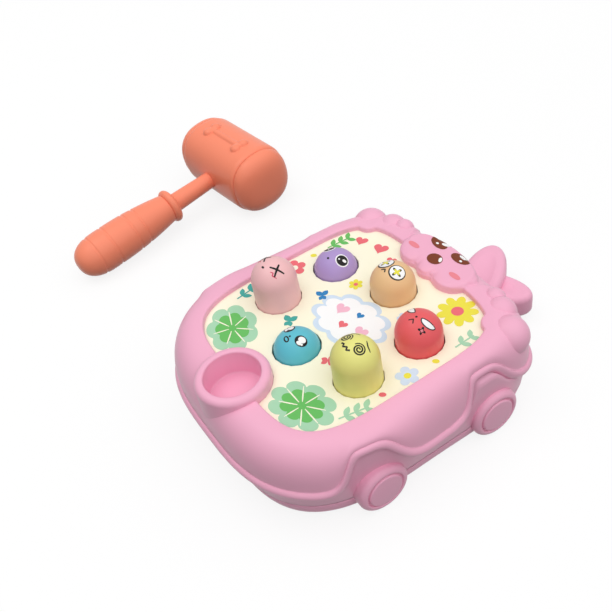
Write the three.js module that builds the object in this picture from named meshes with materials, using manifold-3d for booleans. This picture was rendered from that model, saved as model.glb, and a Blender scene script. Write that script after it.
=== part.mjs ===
// A mole pounding game: a bus-shaped case with a rabbit's head at its front, six moles that
// seesaw in pairs through a printed board, and a hammer with its own cup at the rear.
// Millimetres. +Y is towards the rabbit's ears, +Z is up, and the origin is the middle of
// the flat underside; the four moulded wheels reach a little lower and carry the toy.
import * as THREE from 'three';
import { mergeVertices } from 'three/addons/utils/BufferGeometryUtils.js';
import Module from 'manifold-3d';

const wasm = await Module();
wasm.setup();

// Case, driving sizes
const caseHalfWidth = 91.5;
const caseRearLength = 107.5;
const caseFrontLength = 95.5;
const caseRearPower = 3.2;
const caseFrontPower = 5.2;
const deckHeight = 61;
const rimRise = 4;
const rimHeight = deckHeight + rimRise;
const seamHeight = 11;
const wallThickness = 2.2;
const partingGap = 0.3;

// Opening in the case that frames the board, inside the case's rounded rim
const sideRimWidth = 18.5;
const rearRimWidth = 26.5;
const frontRimWidth = 24.5;
const openingHalfWidth = caseHalfWidth - sideRimWidth;
const openingRearLength = caseRearLength - rearRimWidth;
const openingFrontLength = caseFrontLength - frontRimWidth;
const openingRearPower = 4.4;
const openingFrontPower = 5;

// Raised trim line and the skirt under it
const trimShare = 0.5;
const trimHeight = deckHeight * trimShare;
const trimProud = 2;
const trimHalfHeight = 2.4;
const archInset = 6.5;
const archRise = trimHeight - archInset;
const archHalfWidth = 19;
const fenderBulge = 4;
const fenderHalfWidth = 20;
const fenderSetBack = 12;
const skirtSetIn = 1.6;
const seamSetIn = 4;
const baseSetIn = 6.5;
const baseRound = 2;
const seamLipHeight = 2.4;
const seamLipThickness = 1.1;

// Moulded wheels
const wheelRadius = 17.6;
const hubRadius = 12;
const wheelHeight = 13.7;
const rearWheelShare = 0.3907;
const frontWheelShare = 0.4817;
const rearWheelPlace = -caseRearLength * rearWheelShare;
const frontWheelPlace = caseFrontLength * frontWheelShare;
const wheelProud = 1.9;
const wheelDepth = 12.4;
const wheelCoreDepth = 8.9;
const wheelFace = caseHalfWidth + wheelProud;
const wheelBack = wheelFace - wheelDepth;
const wheelCoreBack = wheelFace - wheelCoreDepth;
const wheelGroove = 2.2;
const tyreRound = 2.6;

// Rabbit's head on the front rim
const headRise = 2.5;
const headDepth = 21;
const headEdge = 3.2;
const headTop = rimHeight + headRise;
const headFootHeight = rimHeight - headDepth;
const foreheadSetIn = 16;
const foreheadHalfWidth = 37;
const foreheadHalfLength = 12.5;
const foreheadPlace = caseFrontLength - foreheadSetIn;
const cheekSpacing = 20.5;
const cheekReach = 4;
const cheekRadius = 16;
const cheekPlace = openingFrontLength + cheekReach;
const muzzleSetIn = 4.5;
const muzzleRadius = 7.5;
const muzzlePlace = openingFrontLength - muzzleSetIn;

// Ears, each lying out from the head at its own angle, the left one over the right one
const earHalfWidth = 16;
const earHalfLength = 36;
const earBottom = 1.2;
const earEdge = 5;
const earDish = 1.6;
const earPlaces = [
  { side: -1, spacing: 2.6, reach: 19.7, splay: 0.55, top: 26.8 },
  { side: 1, spacing: 0.2, reach: 19.7, splay: 1.03, top: 20.2 },
];

// Cloud lobes at the front corners, by their distances in from the case's sides, front and rim
const lobes = [
  { inset: 13, back: 30.5, sink: 13.8, radius: 14 },
  { inset: 25.5, back: 21.5, sink: 10, radius: 11 },
  { inset: 38, back: 14, sink: 8, radius: 9 },
];

// Cup that holds the hammer's grip
const cupSetIn = 24.2;
const cupOuterRadius = 23.8;
const cupBoreRadius = 17.8;
const cupLipRise = 4.5;
const cupDepth = 18.5;
const cupHollowDepth = 25;
const cupPlace = cupSetIn - caseRearLength;
const cupLipHeight = rimHeight + cupLipRise;
const cupFloorHeight = cupLipHeight - cupDepth;
const cupFootHeight = cupFloorHeight - cupHollowDepth;

// Board and its printed sheet
const boardThickness = 2.3;
const sheetThickness = 0.5;
const boardMargin = 8.5;
const boardClearance = 0.3;

// Mole caps
const holeRadius = 16;
const moleShoulderRadius = 15;
const moleSkirtRadius = 15.35;
const moleDomeHeight = 14.2;
const moleWall = 1.8;
const moleFlangeRadius = 17.3;
const moleFlangeThickness = 1.6;
const loweredSink = 2;
const stopGap = 0.3;

// Where the moles stand: two columns, and one at each end between them
const columnShare = 0.6315;
const rowSpacing = 23.2;
const frontMoleSetIn = 33;
const moleCupClearance = 4.2;
const columnSpacing = openingHalfWidth * columnShare;
const frontMolePlace = openingFrontLength - frontMoleSetIn;
const rearMolePlace = cupPlace + cupOuterRadius + moleCupClearance + moleFlangeRadius;

// Stems, guide plate, rockers and pins
const stemRodRadius = 4;
const stemSocketDepth = 14;
const stemFit = 0.3;
const stemReach = 2.1;
const slideClearance = 0.35;
const guideThickness = 2.4;
const collarLength = 2;
const collarWall = 2;
const guideSideGap = 5;
const guideFrontGap = 9;
const guideRearGap = 19;
const guidePower = 3;
const guideHalfWidth = openingHalfWidth - guideSideGap;
const guideFrontLength = openingFrontLength - guideFrontGap;
const guideRearLength = openingRearLength - guideRearGap;
const rockerWidth = 7;
const rockerNoseRadius = 2.8;
const rockerHubRadius = 4.6;
const rockerWaist = 2.1;
const rockerFloorGap = 2.4;
const pinRadius = 1.5;
const pinClearance = 0.3;
const postThickness = 3;
const postGap = 0.4;
const postHalfWidth = 4.5;
const postTopShare = 0.8;

// Screws and the bosses that take them
const bossRadius = 3.4;
const screwRadius = 1.2;
const screwClearance = 0.35;
const screwHeadRadius = 2.6;
const screwHeadHeight = 1.8;
const caseScrewLength = 9;
const boardScrewLength = 4.6;
const guideScrewLength = 9;
const boardBossRadius = 2.6;
const wellRadius = 4.3;
const guideScrewSpacing = 24;
const guideScrewSetIn = 7;
const counterboreDepth = 6;

const caseScrewAngles = [0.86, 2.28, 3.14, 0, -0.98, -2.16];
const boardScrewAngles = [0.42, 2.72, -0.42, -2.72];

// Hammer
const hammerHeadRadius = 28;
const hammerHeadLength = 74;
const hammerDome = 13.8;
const hammerWall = 2.4;
const hammerGroove = 1.2;
const hammerGripRadius = 17.2;
const hammerGripNeck = 12.2;
const hammerGripLength = 89;
const hammerCollarRadius = 14.6;
const hammerCollarThickness = 7.4;
const hammerShaftRadius = 8;
const hammerShaftTopRadius = 7;
const hammerShaftLength = 38;
const hammerSpigotRadius = 5.2;
const hammerSpigotLength = 27;
const hammerFit = 0.3;
const socketShare = 0.6;
const boneHalfLength = 20;
const boneRodRadius = 2.8;
const boneKnobRadius = 4.7;
const boneKnobShare = 0.85;
const spotHalfLength = 10.6;
const spotHalfWidth = 6.9;
const spotSpacing = 16;
const spotDepth = 1.3;
const spotReachShare = 0.4;
const hammerPlace = new THREE.Vector2(-238, -108);
const hammerHeading = 0.12;

// Steps that round shapes are cut into
const caseStations = 56;
const roundSteps = 16;
const moleSteps = 15;
const stemSteps = 10;
const smallSteps = 8;
const cupSteps = 26;
const headSteps = 22;
const muzzleSteps = 14;
const earSteps = 18;
const wheelSteps = 18;
const coreSteps = 12;
const lobeSteps = 12;
const sheetSteps = 48;
const guideSteps = 32;
const screwSteps = 6;
const hammerSteps = 22;
const hammerEndSteps = 20;
const boneSteps = 7;
const overrun = 1;
const farReach = 2 * (caseRearLength + caseFrontLength);
const quarterTurn = Math.PI / 2;

// Turns at which rounded shoulders and edges are cut
const shoulderTurns = [0, 0.2, 0.5, 0.85, 1.2, quarterTurn];
const innerTurns = [1.2, 0.6, 0];
const pebbleTurns = [0, 0.5, 1, quarterTurn];
const earTurns = [0, 0.7, quarterTurn];
const hollowTurns = [0, quarterTurn];
const domeTurns = [0, 0.5, 0.92, 1.28];
const innerDomeTurns = [0.8, 0];
const tipTurns = [0.55, 1.1, quarterTurn];
const collarTurns = [-1.2, -0.6, 0, 0.6, 1.2];
const endTurns = [0.35, 0.8, 1.2];
const outsideRows = shoulderTurns.length + 4;

const colours = {
  case: '#f2a9c4',
  board: '#fbf7e0',
  sheet: '#fefbe2',
  inner: '#e9e6df',
  steel: '#b9bcc0',
  hammer: '#fc8c71',
  spot: '#f5e6dc',
};
const moleColours = {
  pink: '#f0b4b4', purple: '#b49bcd', tan: '#ebbe91', teal: '#6ec3d2', yellow: '#f0ee96', red: '#eb6e73',
};

// Solids: a closed geometry becomes a solid with its faces out, and back again.
function solidOf(geometry) {
  const bare = geometry.clone();
  bare.deleteAttribute('normal');
  bare.deleteAttribute('uv');
  const merged = mergeVertices(bare);
  const places = merged.attributes.position.array;
  const corners = merged.index.array;
  const a = new THREE.Vector3();
  const b = new THREE.Vector3();
  const c = new THREE.Vector3();
  let volume = 0;
  const kept = [];
  for (let i = 0; i < corners.length; i += 3) {
    if (new Set(corners.slice(i, i + 3)).size < 3) continue;
    a.fromArray(places, 3 * corners[i]);
    b.fromArray(places, 3 * corners[i + 1]);
    c.fromArray(places, 3 * corners[i + 2]);
    volume += a.dot(b.cross(c));
    kept.push(corners[i], corners[i + 1], corners[i + 2]);
  }
  if (volume < 0) kept.reverse();
  return new wasm.Manifold(new wasm.Mesh({
    numProp: 3,
    vertProperties: new Float32Array(places),
    triVerts: new Uint32Array(kept),
  }));
}

function geometryOf(solid) {
  const mesh = solid.getMesh();
  const geometry = new THREE.BufferGeometry();
  geometry.setAttribute('position', new THREE.BufferAttribute(new Float32Array(mesh.vertProperties), 3));
  geometry.setIndex(new THREE.BufferAttribute(new Uint32Array(mesh.triVerts), 1));
  geometry.computeVertexNormals();
  return geometry;
}

function unite(solids) {
  return solids.reduce((whole, next) => whole.add(next));
}

function cut(solid, cutters) {
  return cutters.reduce((rest, cutter) => rest.subtract(cutter), solid);
}

// Revolved piece: pairs of radius and height, turned about Z.
function turned(profile, steps = roundSteps) {
  const points = profile.map(([radius, height]) => new THREE.Vector2(radius, height));
  return new THREE.LatheGeometry(points, steps).rotateX(quarterTurn);
}

function drum(radius, low, high, steps = roundSteps) {
  return turned([[0, low], [radius, low], [radius, high], [0, high]], steps);
}

// Loft through rings of equal count; a hoop closes on its first ring, a lump has its ends filled.
function loft(rings, ends = null) {
  const count = rings[0].length;
  const places = rings.flat().flatMap((point) => [point.x, point.y, point.z]);
  const corners = [];
  const bands = ends ? rings.length - 1 : rings.length;
  for (let r = 0; r < bands; r += 1) {
    const near = r * count;
    const far = ((r + 1) % rings.length) * count;
    for (let i = 0; i < count; i += 1) {
      const j = (i + 1) % count;
      corners.push(near + i, near + j, far + j, near + i, far + j, far + i);
    }
  }
  if (ends) {
    const first = places.length / 3;
    ends.forEach((point) => places.push(point.x, point.y, point.z));
    const last = (rings.length - 1) * count;
    for (let i = 0; i < count; i += 1) {
      const j = (i + 1) % count;
      corners.push(first, j, i, first + 1, last + i, last + j);
    }
  }
  const geometry = new THREE.BufferGeometry();
  geometry.setAttribute('position', new THREE.Float32BufferAttribute(places, 3));
  geometry.setIndex(corners);
  return geometry;
}

// Rounded oval seen from above: its reach from the middle in a given direction.
function ovalReach(angle, halfWidth, rearLength, frontLength, rearPower, frontPower) {
  const across = Math.abs(Math.cos(angle)) / halfWidth;
  const front = Math.sin(angle) > 0;
  const along = Math.abs(Math.sin(angle)) / (front ? frontLength : rearLength);
  const power = front ? frontPower : rearPower;
  return (across ** power + along ** power) ** (-1 / power);
}

function caseReach(angle) {
  return ovalReach(angle, caseHalfWidth, caseRearLength, caseFrontLength, caseRearPower, caseFrontPower);
}

function openingReach(angle) {
  const lengths = [openingRearLength, openingFrontLength];
  return ovalReach(angle, openingHalfWidth, ...lengths, openingRearPower, openingFrontPower);
}

function around(angle, reach, height) {
  return new THREE.Vector3(reach * Math.cos(angle), reach * Math.sin(angle), height);
}

// Directions in which the outline is sampled, closer together along the sides' arches
function stationAngles(count) {
  const crowding = 0.18;
  return Array.from({ length: count }, (_, i) => {
    const turn = (2 * Math.PI * i) / count;
    return turn - crowding * Math.sin(2 * turn);
  });
}

// Height of the trim line: it climbs slightly forwards and arches over each wheel.
function trimLevel(angle) {
  const along = caseReach(angle) * Math.sin(angle);
  const slopeShare = 0.07;
  const archPower = 4;
  const arches = [rearWheelPlace, frontWheelPlace].map((place) => (
    1 / (1 + ((along - place) / archHalfWidth) ** archPower)));
  return trimHeight + slopeShare * along + archRise * Math.max(...arches);
}

// The sides swell out over the rear wheels.
function fender(angle) {
  const along = caseReach(angle) * Math.sin(angle);
  const fenderPower = 4;
  const place = rearWheelPlace - fenderSetBack;
  return fenderBulge / (1 + ((along - place) / fenderHalfWidth) ** fenderPower);
}

// Rounded shoulder between the opening's edge and the trim line, as shares of its width and height.
function shoulderShares(turn) {
  const power = 3.5;
  return [Math.sin(turn) ** (2 / power), Math.cos(turn) ** (2 / power)];
}

function upperSection(angle) {
  const inner = openingReach(angle);
  const outer = caseReach(angle);
  const brow = outer + fender(angle);
  const trim = trimLevel(angle);
  const shoulderFoot = trim + trimHalfHeight;
  const section = [];
  for (const turn of shoulderTurns) {
    const [out, up] = shoulderShares(turn);
    section.push([inner + (brow - inner) * out, shoulderFoot + (rimHeight - shoulderFoot) * up]);
  }
  const crestShare = 0.35;
  section.push([brow + trimProud, trim + trimHalfHeight * crestShare]);
  section.push([brow + trimProud, trim - trimHalfHeight * crestShare]);
  section.push([outer - skirtSetIn, trim - trimHalfHeight]);
  section.push([outer - seamSetIn, seamHeight + partingGap]);
  section.push([outer - seamSetIn - wallThickness, seamHeight + partingGap]);
  section.push([outer - skirtSetIn - wallThickness, trim - trimHalfHeight]);
  for (const turn of innerTurns) {
    const [out, up] = shoulderShares(turn);
    const near = inner + wallThickness;
    const far = outer - wallThickness;
    section.push([near + (far - near) * out, shoulderFoot + (rimHeight - wallThickness - shoulderFoot) * up]);
  }
  section.push([inner + wallThickness, deckHeight + partingGap]);
  section.push([inner, deckHeight + partingGap]);
  return section;
}

// Rows of one section carried round the whole outline
function rowsOf(section) {
  const angles = stationAngles(caseStations);
  const sections = angles.map(section);
  return sections[0].map((_, row) => angles.map((angle, i) => around(angle, ...sections[i][row])));
}

function caseShell() {
  return solidOf(loft(rowsOf(upperSection)));
}

// The same outside as a filled lump
function caseFill() {
  const ends = [new THREE.Vector3(0, 0, rimHeight), new THREE.Vector3(0, 0, seamHeight + partingGap)];
  return solidOf(loft(rowsOf(upperSection).slice(0, outsideRows), ends));
}

// The room inside both halves, out to the middle of their walls
function caseCavity() {
  const middle = wallThickness / 2;
  const rows = rowsOf((angle) => {
    const outer = caseReach(angle);
    const inner = openingReach(angle) + middle;
    const trim = trimLevel(angle);
    const shoulderFoot = trim + trimHalfHeight;
    const section = [[outer - baseSetIn - baseRound, middle], [outer - seamSetIn - middle, seamHeight]];
    section.push([outer - skirtSetIn - middle, trim - trimHalfHeight]);
    for (const turn of innerTurns) {
      const [out, up] = shoulderShares(turn);
      const rise = rimHeight - middle - shoulderFoot;
      section.push([inner + (outer - middle - inner) * out, shoulderFoot + rise * up]);
    }
    section.push([inner, deckHeight + partingGap]);
    return section;
  });
  const ends = [new THREE.Vector3(0, 0, middle), new THREE.Vector3(0, 0, deckHeight + partingGap)];
  return solidOf(loft(rows, ends));
}

// A pebble: an oval lump with rounded edges, optionally dished on top. A flat foot leaves its
// lower edge square.
function pebble({
  across, along, turn = 0, halfWidth, halfLength, low, high, edge, dish = 0, flatFoot = false,
  steps = roundSteps, turns = pebbleTurns,
}) {
  const levels = turns.map((t) => [edge * (1 - Math.cos(t)), high - edge * (1 - Math.sin(t))]);
  if (flatFoot) levels.unshift([0, low]);
  else turns.forEach((t) => levels.unshift([edge * (1 - Math.cos(t)), low + edge * (1 - Math.sin(t))]));
  const rings = levels.map(([inset, height]) => Array.from({ length: steps }, (_, i) => {
    const angle = (2 * Math.PI * i) / steps;
    const x = (halfWidth - inset) * Math.cos(angle);
    const y = (halfLength - inset) * Math.sin(angle);
    return new THREE.Vector3(
      across + x * Math.cos(turn) - y * Math.sin(turn),
      along + x * Math.sin(turn) + y * Math.cos(turn),
      height,
    );
  }));
  const ends = [new THREE.Vector3(across, along, low), new THREE.Vector3(across, along, high - dish)];
  return solidOf(loft(rings, ends));
}

function ball(across, along, height, radius, steps) {
  const sphere = new THREE.SphereGeometry(radius, steps, steps / 2 + 1).rotateX(quarterTurn);
  return solidOf(sphere.translate(across, along, height));
}

// Head, lobes and ears that stand on the case's front; they are cut to its inner wall later
function headLumps() {
  const foot = { low: headFootHeight, high: headTop, edge: headEdge, flatFoot: true };
  const forehead = { halfWidth: foreheadHalfWidth, halfLength: foreheadHalfLength, steps: headSteps };
  const cheek = { halfWidth: cheekRadius, halfLength: cheekRadius };
  const muzzle = { halfWidth: muzzleRadius, halfLength: muzzleRadius, steps: muzzleSteps };
  return unite([
    pebble({ ...foot, ...forehead, across: 0, along: foreheadPlace }),
    pebble({ ...foot, ...cheek, across: -cheekSpacing, along: cheekPlace }),
    pebble({ ...foot, ...cheek, across: cheekSpacing, along: cheekPlace }),
    pebble({ ...foot, ...muzzle, across: 0, along: muzzlePlace }),
  ]);
}

function cornerLobes(inset = 0, steps = lobeSteps) {
  return unite([-1, 1].flatMap((side) => lobes.map((lobe) => {
    const across = side * (caseHalfWidth - lobe.inset);
    return ball(across, caseFrontLength - lobe.back, rimHeight - lobe.sink, lobe.radius - inset, steps);
  })));
}

function ears(inset = 0) {
  const solid = { steps: earSteps, turns: earTurns, dish: earDish };
  const shape = inset ? { steps: stemSteps, turns: hollowTurns } : solid;
  return unite(earPlaces.map(({ side, spacing, reach, splay, top }) => pebble({
    ...shape,
    across: side * spacing,
    along: caseFrontLength + reach,
    turn: -side * splay,
    halfWidth: earHalfWidth - inset,
    halfLength: earHalfLength - inset,
    low: earBottom + inset,
    high: top - inset,
    edge: earEdge - inset,
  })));
}

// Wheels in relief: a rounded tyre, a groove and a hub disc, all part of the case's side.
function wheelDiscs(profile, steps) {
  const discs = [];
  for (const side of [-1, 1]) {
    for (const place of [rearWheelPlace, frontWheelPlace]) {
      const disc = turned(profile, steps).rotateY(side * quarterTurn);
      discs.push(solidOf(disc.translate(0, place, wheelHeight)));
    }
  }
  return unite(discs);
}

function wheelRelief() {
  const groove = wheelFace - wheelGroove;
  const bevel = wheelGroove / 2;
  const tyreFace = wheelFace - bevel;
  const profile = [[0, wheelBack], [wheelRadius, wheelBack], [wheelRadius, tyreFace - tyreRound]];
  profile.push([wheelRadius - tyreRound, tyreFace], [hubRadius + bevel, groove], [hubRadius, groove]);
  profile.push([hubRadius - bevel, wheelFace], [0, wheelFace]);
  return wheelDiscs(profile, wheelSteps);
}

function wheelCores() {
  const face = wheelFace - wheelGroove - wallThickness;
  const radius = wheelRadius - wallThickness;
  return wheelDiscs([[0, wheelCoreBack], [radius, wheelCoreBack], [radius, face], [0, face]], coreSteps);
}

// Cup: a tube with a rolled lip and a floor, open below its floor
function cupTube() {
  const lip = (cupOuterRadius - cupBoreRadius) / 2;
  const lipShares = [0, 0.71, 1, 0.71, 0];
  const profile = [[cupOuterRadius, cupFootHeight]];
  lipShares.forEach((share, i) => {
    const turn = (Math.PI * i) / (lipShares.length - 1);
    profile.push([cupBoreRadius + lip + lip * Math.cos(turn), cupLipHeight - lip + lip * share]);
  });
  const inner = cupOuterRadius - wallThickness;
  profile.push([cupBoreRadius, cupFloorHeight], [0, cupFloorHeight], [0, cupFloorHeight - wallThickness]);
  profile.push([inner, cupFloorHeight - wallThickness], [inner, cupFootHeight]);
  profile.push([cupOuterRadius, cupFootHeight]);
  return solidOf(turned(profile, cupSteps).translate(0, cupPlace, 0));
}

function cupBore() {
  const radius = cupBoreRadius + wallThickness / 2;
  return solidOf(drum(radius, cupFloorHeight, cupLipHeight + overrun, cupSteps).translate(0, cupPlace, 0));
}

function cupHollow() {
  const radius = cupOuterRadius - wallThickness;
  const low = cupFootHeight - overrun;
  return solidOf(drum(radius, low, cupFloorHeight - wallThickness, cupSteps).translate(0, cupPlace, 0));
}

// Places where screws join the case halves, and the board to the case
function caseScrewPlace(angle) {
  const lipDepth = seamSetIn + wallThickness + partingGap + seamLipThickness;
  return around(angle, caseReach(angle) - lipDepth - partingGap - bossRadius, 0);
}

function boardScrewPlace(angle) {
  return around(angle, openingReach(angle) + wallThickness + boardBossRadius, 0);
}

function columns(places, radius, low, high) {
  const column = drum(radius, low, high, smallSteps);
  return unite(places.map((place) => solidOf(column.clone().translate(place.x, place.y, 0))));
}

const caseScrewPlaces = caseScrewAngles.map(caseScrewPlace);
const boardScrewPlaces = boardScrewAngles.map(boardScrewPlace);

function upperBosses() {
  const high = rimHeight - wallThickness / 2;
  const tall = columns(caseScrewPlaces, bossRadius, seamHeight + partingGap, high);
  const short = columns(boardScrewPlaces, boardBossRadius, deckHeight - sheetThickness + partingGap, high);
  return tall.add(short).intersect(caseFill());
}

function upperPilots() {
  const radius = screwRadius + screwClearance;
  const caseTop = seamHeight + partingGap + caseScrewLength;
  const boardTop = boardBottom + boardScrewLength + screwClearance;
  const long = columns(caseScrewPlaces, radius, seamHeight - overrun, caseTop);
  return long.add(columns(boardScrewPlaces, radius, deckHeight - overrun, boardTop));
}

function upperHalf(solid) {
  const box = new THREE.BoxGeometry(farReach, farReach, farReach);
  return solid.intersect(solidOf(box.translate(0, 0, seamHeight + partingGap + farReach / 2)));
}

function lowerHalf(solid) {
  const box = new THREE.BoxGeometry(farReach, farReach, farReach);
  return solid.intersect(solidOf(box.translate(0, 0, seamHeight - farReach / 2)));
}

// Everything that stands out of the case, and the hollows behind it
function lumps() {
  return unite([headLumps(), cornerLobes(), ears(), wheelRelief()]).subtract(caseCavity());
}

const caseLumps = lumps();
const lumpHollows = unite([cornerLobes(wallThickness, smallSteps), ears(wallThickness), wheelCores()]);

function upperCase() {
  const shell = cut(caseShell(), [cupBore(), cupHollow()]);
  const body = unite([shell, cupTube(), upperHalf(caseLumps)]).subtract(lumpHollows);
  return body.add(upperBosses()).subtract(upperPilots());
}

// Lower case: a tray with a lip inside the seam, posts for the rockers and screw wells
function traySection(angle) {
  const outer = caseReach(angle);
  const lip = outer - seamSetIn - wallThickness - partingGap;
  return [
    [outer - baseSetIn - baseRound, 0],
    [outer - baseSetIn, baseRound],
    [outer - seamSetIn, seamHeight],
    [lip, seamHeight],
    [lip, seamHeight + seamLipHeight],
    [lip - seamLipThickness, seamHeight + seamLipHeight],
    [lip - seamLipThickness, seamHeight - wallThickness],
    [outer - baseSetIn - baseRound - wallThickness / 2, wallThickness],
  ];
}

function tray() {
  const ends = [new THREE.Vector3(), new THREE.Vector3(0, 0, wallThickness)];
  return solidOf(loft(rowsOf(traySection), ends));
}

const moles = {
  pink: { x: -columnSpacing, y: -rowSpacing, share: 1 },
  purple: { x: -columnSpacing, y: rowSpacing, share: 0 },
  tan: { x: 0, y: frontMolePlace, share: 0.5 },
  red: { x: columnSpacing, y: rowSpacing, share: 0.5 },
  yellow: { x: columnSpacing, y: -rowSpacing, share: 1 },
  teal: { x: 0, y: rearMolePlace, share: 0 },
};

// Heights that follow from the raised mole: cap, stem, guide plate, rocker nose and pivot. The
// travel is half of the room that these leave between the board and the floor.
const boardBottom = deckHeight - sheetThickness - boardThickness;
const capBottomRaised = boardBottom - stopGap - moleFlangeThickness;
const guideStack = stopGap + guideThickness + collarLength + stemReach + stopGap;
const noseRoom = 2 * rockerNoseRadius + rockerFloorGap + wallThickness;
const moleTravel = (capBottomRaised - guideStack - noseRoom) / 2;
const moleRaisedHeight = moleTravel - loweredSink;
const capHeight = deckHeight + moleRaisedHeight - capBottomRaised;
const guideTop = capBottomRaised - moleTravel - stopGap;
const collarBottom = guideTop - guideThickness - collarLength;
const stemTipRaised = collarBottom - stemReach;
const noseTopRaised = stemTipRaised - stopGap;
const pivotHeight = noseTopRaised - rockerNoseRadius - moleTravel / 2;

const rockers = {
  left: ['purple', 'pink'],
  front: ['tan', 'red'],
  rear: ['teal', 'yellow'],
};

function rockerFrame([lowName, highName]) {
  const low = moles[lowName];
  const high = moles[highName];
  const run = new THREE.Vector2(high.x - low.x, high.y - low.y);
  const arm = run.length() / 2;
  return {
    x: (low.x + high.x) / 2,
    y: (low.y + high.y) / 2,
    heading: run.angle(),
    arm,
    tilt: Math.asin(((high.share - low.share) * moleTravel) / 2 / arm),
  };
}

function standing(geometry, frame) {
  return geometry.rotateX(quarterTurn).rotateZ(frame.heading).translate(frame.x, frame.y, pivotHeight);
}

function postOutline() {
  const foot = wallThickness / 2 - pivotHeight;
  const outline = new THREE.Shape();
  outline.moveTo(-postHalfWidth, foot);
  outline.lineTo(postHalfWidth, foot);
  outline.lineTo(postHalfWidth * postTopShare, 0);
  outline.absarc(0, 0, postHalfWidth * postTopShare, 0, Math.PI);
  outline.lineTo(-postHalfWidth, foot);
  const bore = new THREE.Path();
  bore.absarc(0, 0, pinRadius + pinClearance, 0, 2 * Math.PI, true);
  outline.holes.push(bore);
  return outline;
}

function rockerPosts() {
  const posts = [];
  const near = rockerWidth / 2 + postGap;
  for (const pair of Object.values(rockers)) {
    for (const start of [near, -near - postThickness]) {
      const shape = { depth: postThickness, bevelEnabled: false, curveSegments: 3 };
      const post = new THREE.ExtrudeGeometry(postOutline(), shape);
      posts.push(solidOf(standing(post.translate(0, 0, start), rockerFrame(pair))));
    }
  }
  return unite(posts);
}

function screwWells() {
  return columns(caseScrewPlaces, wellRadius, 0, seamHeight).subtract(outsideTray());
}

// Room outside the tray, so that nothing added inside it shows
function outsideTray() {
  const block = solidOf(new THREE.BoxGeometry(farReach, farReach, farReach));
  const ends = [new THREE.Vector3(), new THREE.Vector3(0, 0, seamHeight + overrun)];
  const rows = rowsOf((angle) => {
    const outer = caseReach(angle);
    const foot = [[outer - baseSetIn - baseRound, 0], [outer - baseSetIn, baseRound]];
    return [...foot, [outer - seamSetIn, seamHeight + overrun]];
  });
  return block.subtract(solidOf(loft(rows, ends)));
}

function screwBores() {
  const heads = columns(caseScrewPlaces, screwHeadRadius + screwClearance, -overrun, counterboreDepth);
  return heads.add(columns(caseScrewPlaces, screwRadius + screwClearance, -overrun, seamHeight + overrun));
}

function lowerCase() {
  const body = unite([tray(), lowerHalf(caseLumps)]).subtract(lumpHollows);
  return unite([body, rockerPosts(), screwWells()]).subtract(screwBores());
}

// Board, sheet and guide plate
function outlineOf(reachOf, steps) {
  const points = stationAngles(steps).map((angle) => {
    const point = around(angle, reachOf(angle), 0);
    return new THREE.Vector2(point.x, point.y);
  });
  return new THREE.Shape(points);
}

function plateOutline(margin) {
  return outlineOf((angle) => openingReach(angle) + margin, sheetSteps);
}

function pierced(outline, radius) {
  for (const { x, y } of Object.values(moles)) {
    const hole = new THREE.Path();
    hole.absarc(x, y, radius, 0, 2 * Math.PI, true);
    outline.holes.push(hole);
  }
  return outline;
}

function plate(outline, low, thickness, steps = smallSteps) {
  const shape = { depth: thickness, bevelEnabled: false, curveSegments: steps };
  return solidOf(new THREE.ExtrudeGeometry(outline, shape).translate(0, 0, low));
}

function cupClearance() {
  const radius = cupOuterRadius + boardClearance;
  return solidOf(drum(radius, cupFootHeight, cupLipHeight, cupSteps).translate(0, cupPlace, 0));
}

const guideScrewPlaces = [-1, 1].flatMap((side) => (
  [guideScrewSetIn - guideRearLength, guideFrontLength - guideScrewSetIn].map((along) => (
    new THREE.Vector3(side * guideScrewSpacing, along, 0)))));

// The board hangs under the opening's edge; it is notched round the cup and the case's bosses
function playBoard() {
  const flat = plate(pierced(plateOutline(boardMargin), holeRadius), boardBottom, boardThickness);
  const bosses = columns(guideScrewPlaces, bossRadius, guideTop, boardBottom + boardThickness / 2);
  const radius = screwRadius + screwClearance;
  const pilots = columns(guideScrewPlaces, radius, guideTop - overrun, guideTop + guideScrewLength);
  const holes = columns(boardScrewPlaces, radius, boardBottom - overrun, deckHeight);
  const notches = columns(caseScrewPlaces, bossRadius + boardClearance, boardBottom - overrun, deckHeight);
  return cut(flat.add(bosses), [pilots, holes, cupClearance(), notches]);
}

function printedSheet() {
  const outline = pierced(plateOutline(wallThickness / 2), holeRadius);
  return cut(plate(outline, deckHeight - sheetThickness, sheetThickness), [cupClearance()]);
}

function guidePlate() {
  const lengths = [guideRearLength, guideFrontLength];
  const powers = [guidePower, guidePower];
  const outline = outlineOf((angle) => ovalReach(angle, guideHalfWidth, ...lengths, ...powers), guideSteps);
  const flat = plate(outline, guideTop - guideThickness, guideThickness);
  const bore = stemRodRadius + slideClearance;
  const places = Object.values(moles);
  const collar = drum(bore + collarWall, collarBottom, guideTop - guideThickness / 2, stemSteps);
  const collars = unite(places.map(({ x, y }) => solidOf(collar.clone().translate(x, y, 0))));
  const passage = drum(bore, collarBottom - overrun, guideTop + overrun, stemSteps);
  const bores = unite(places.map(({ x, y }) => solidOf(passage.clone().translate(x, y, 0))));
  const holes = columns(guideScrewPlaces, screwRadius + screwClearance, collarBottom, guideTop + overrun);
  return cut(flat.add(collars), [bores, holes, cupClearance()]);
}

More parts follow.
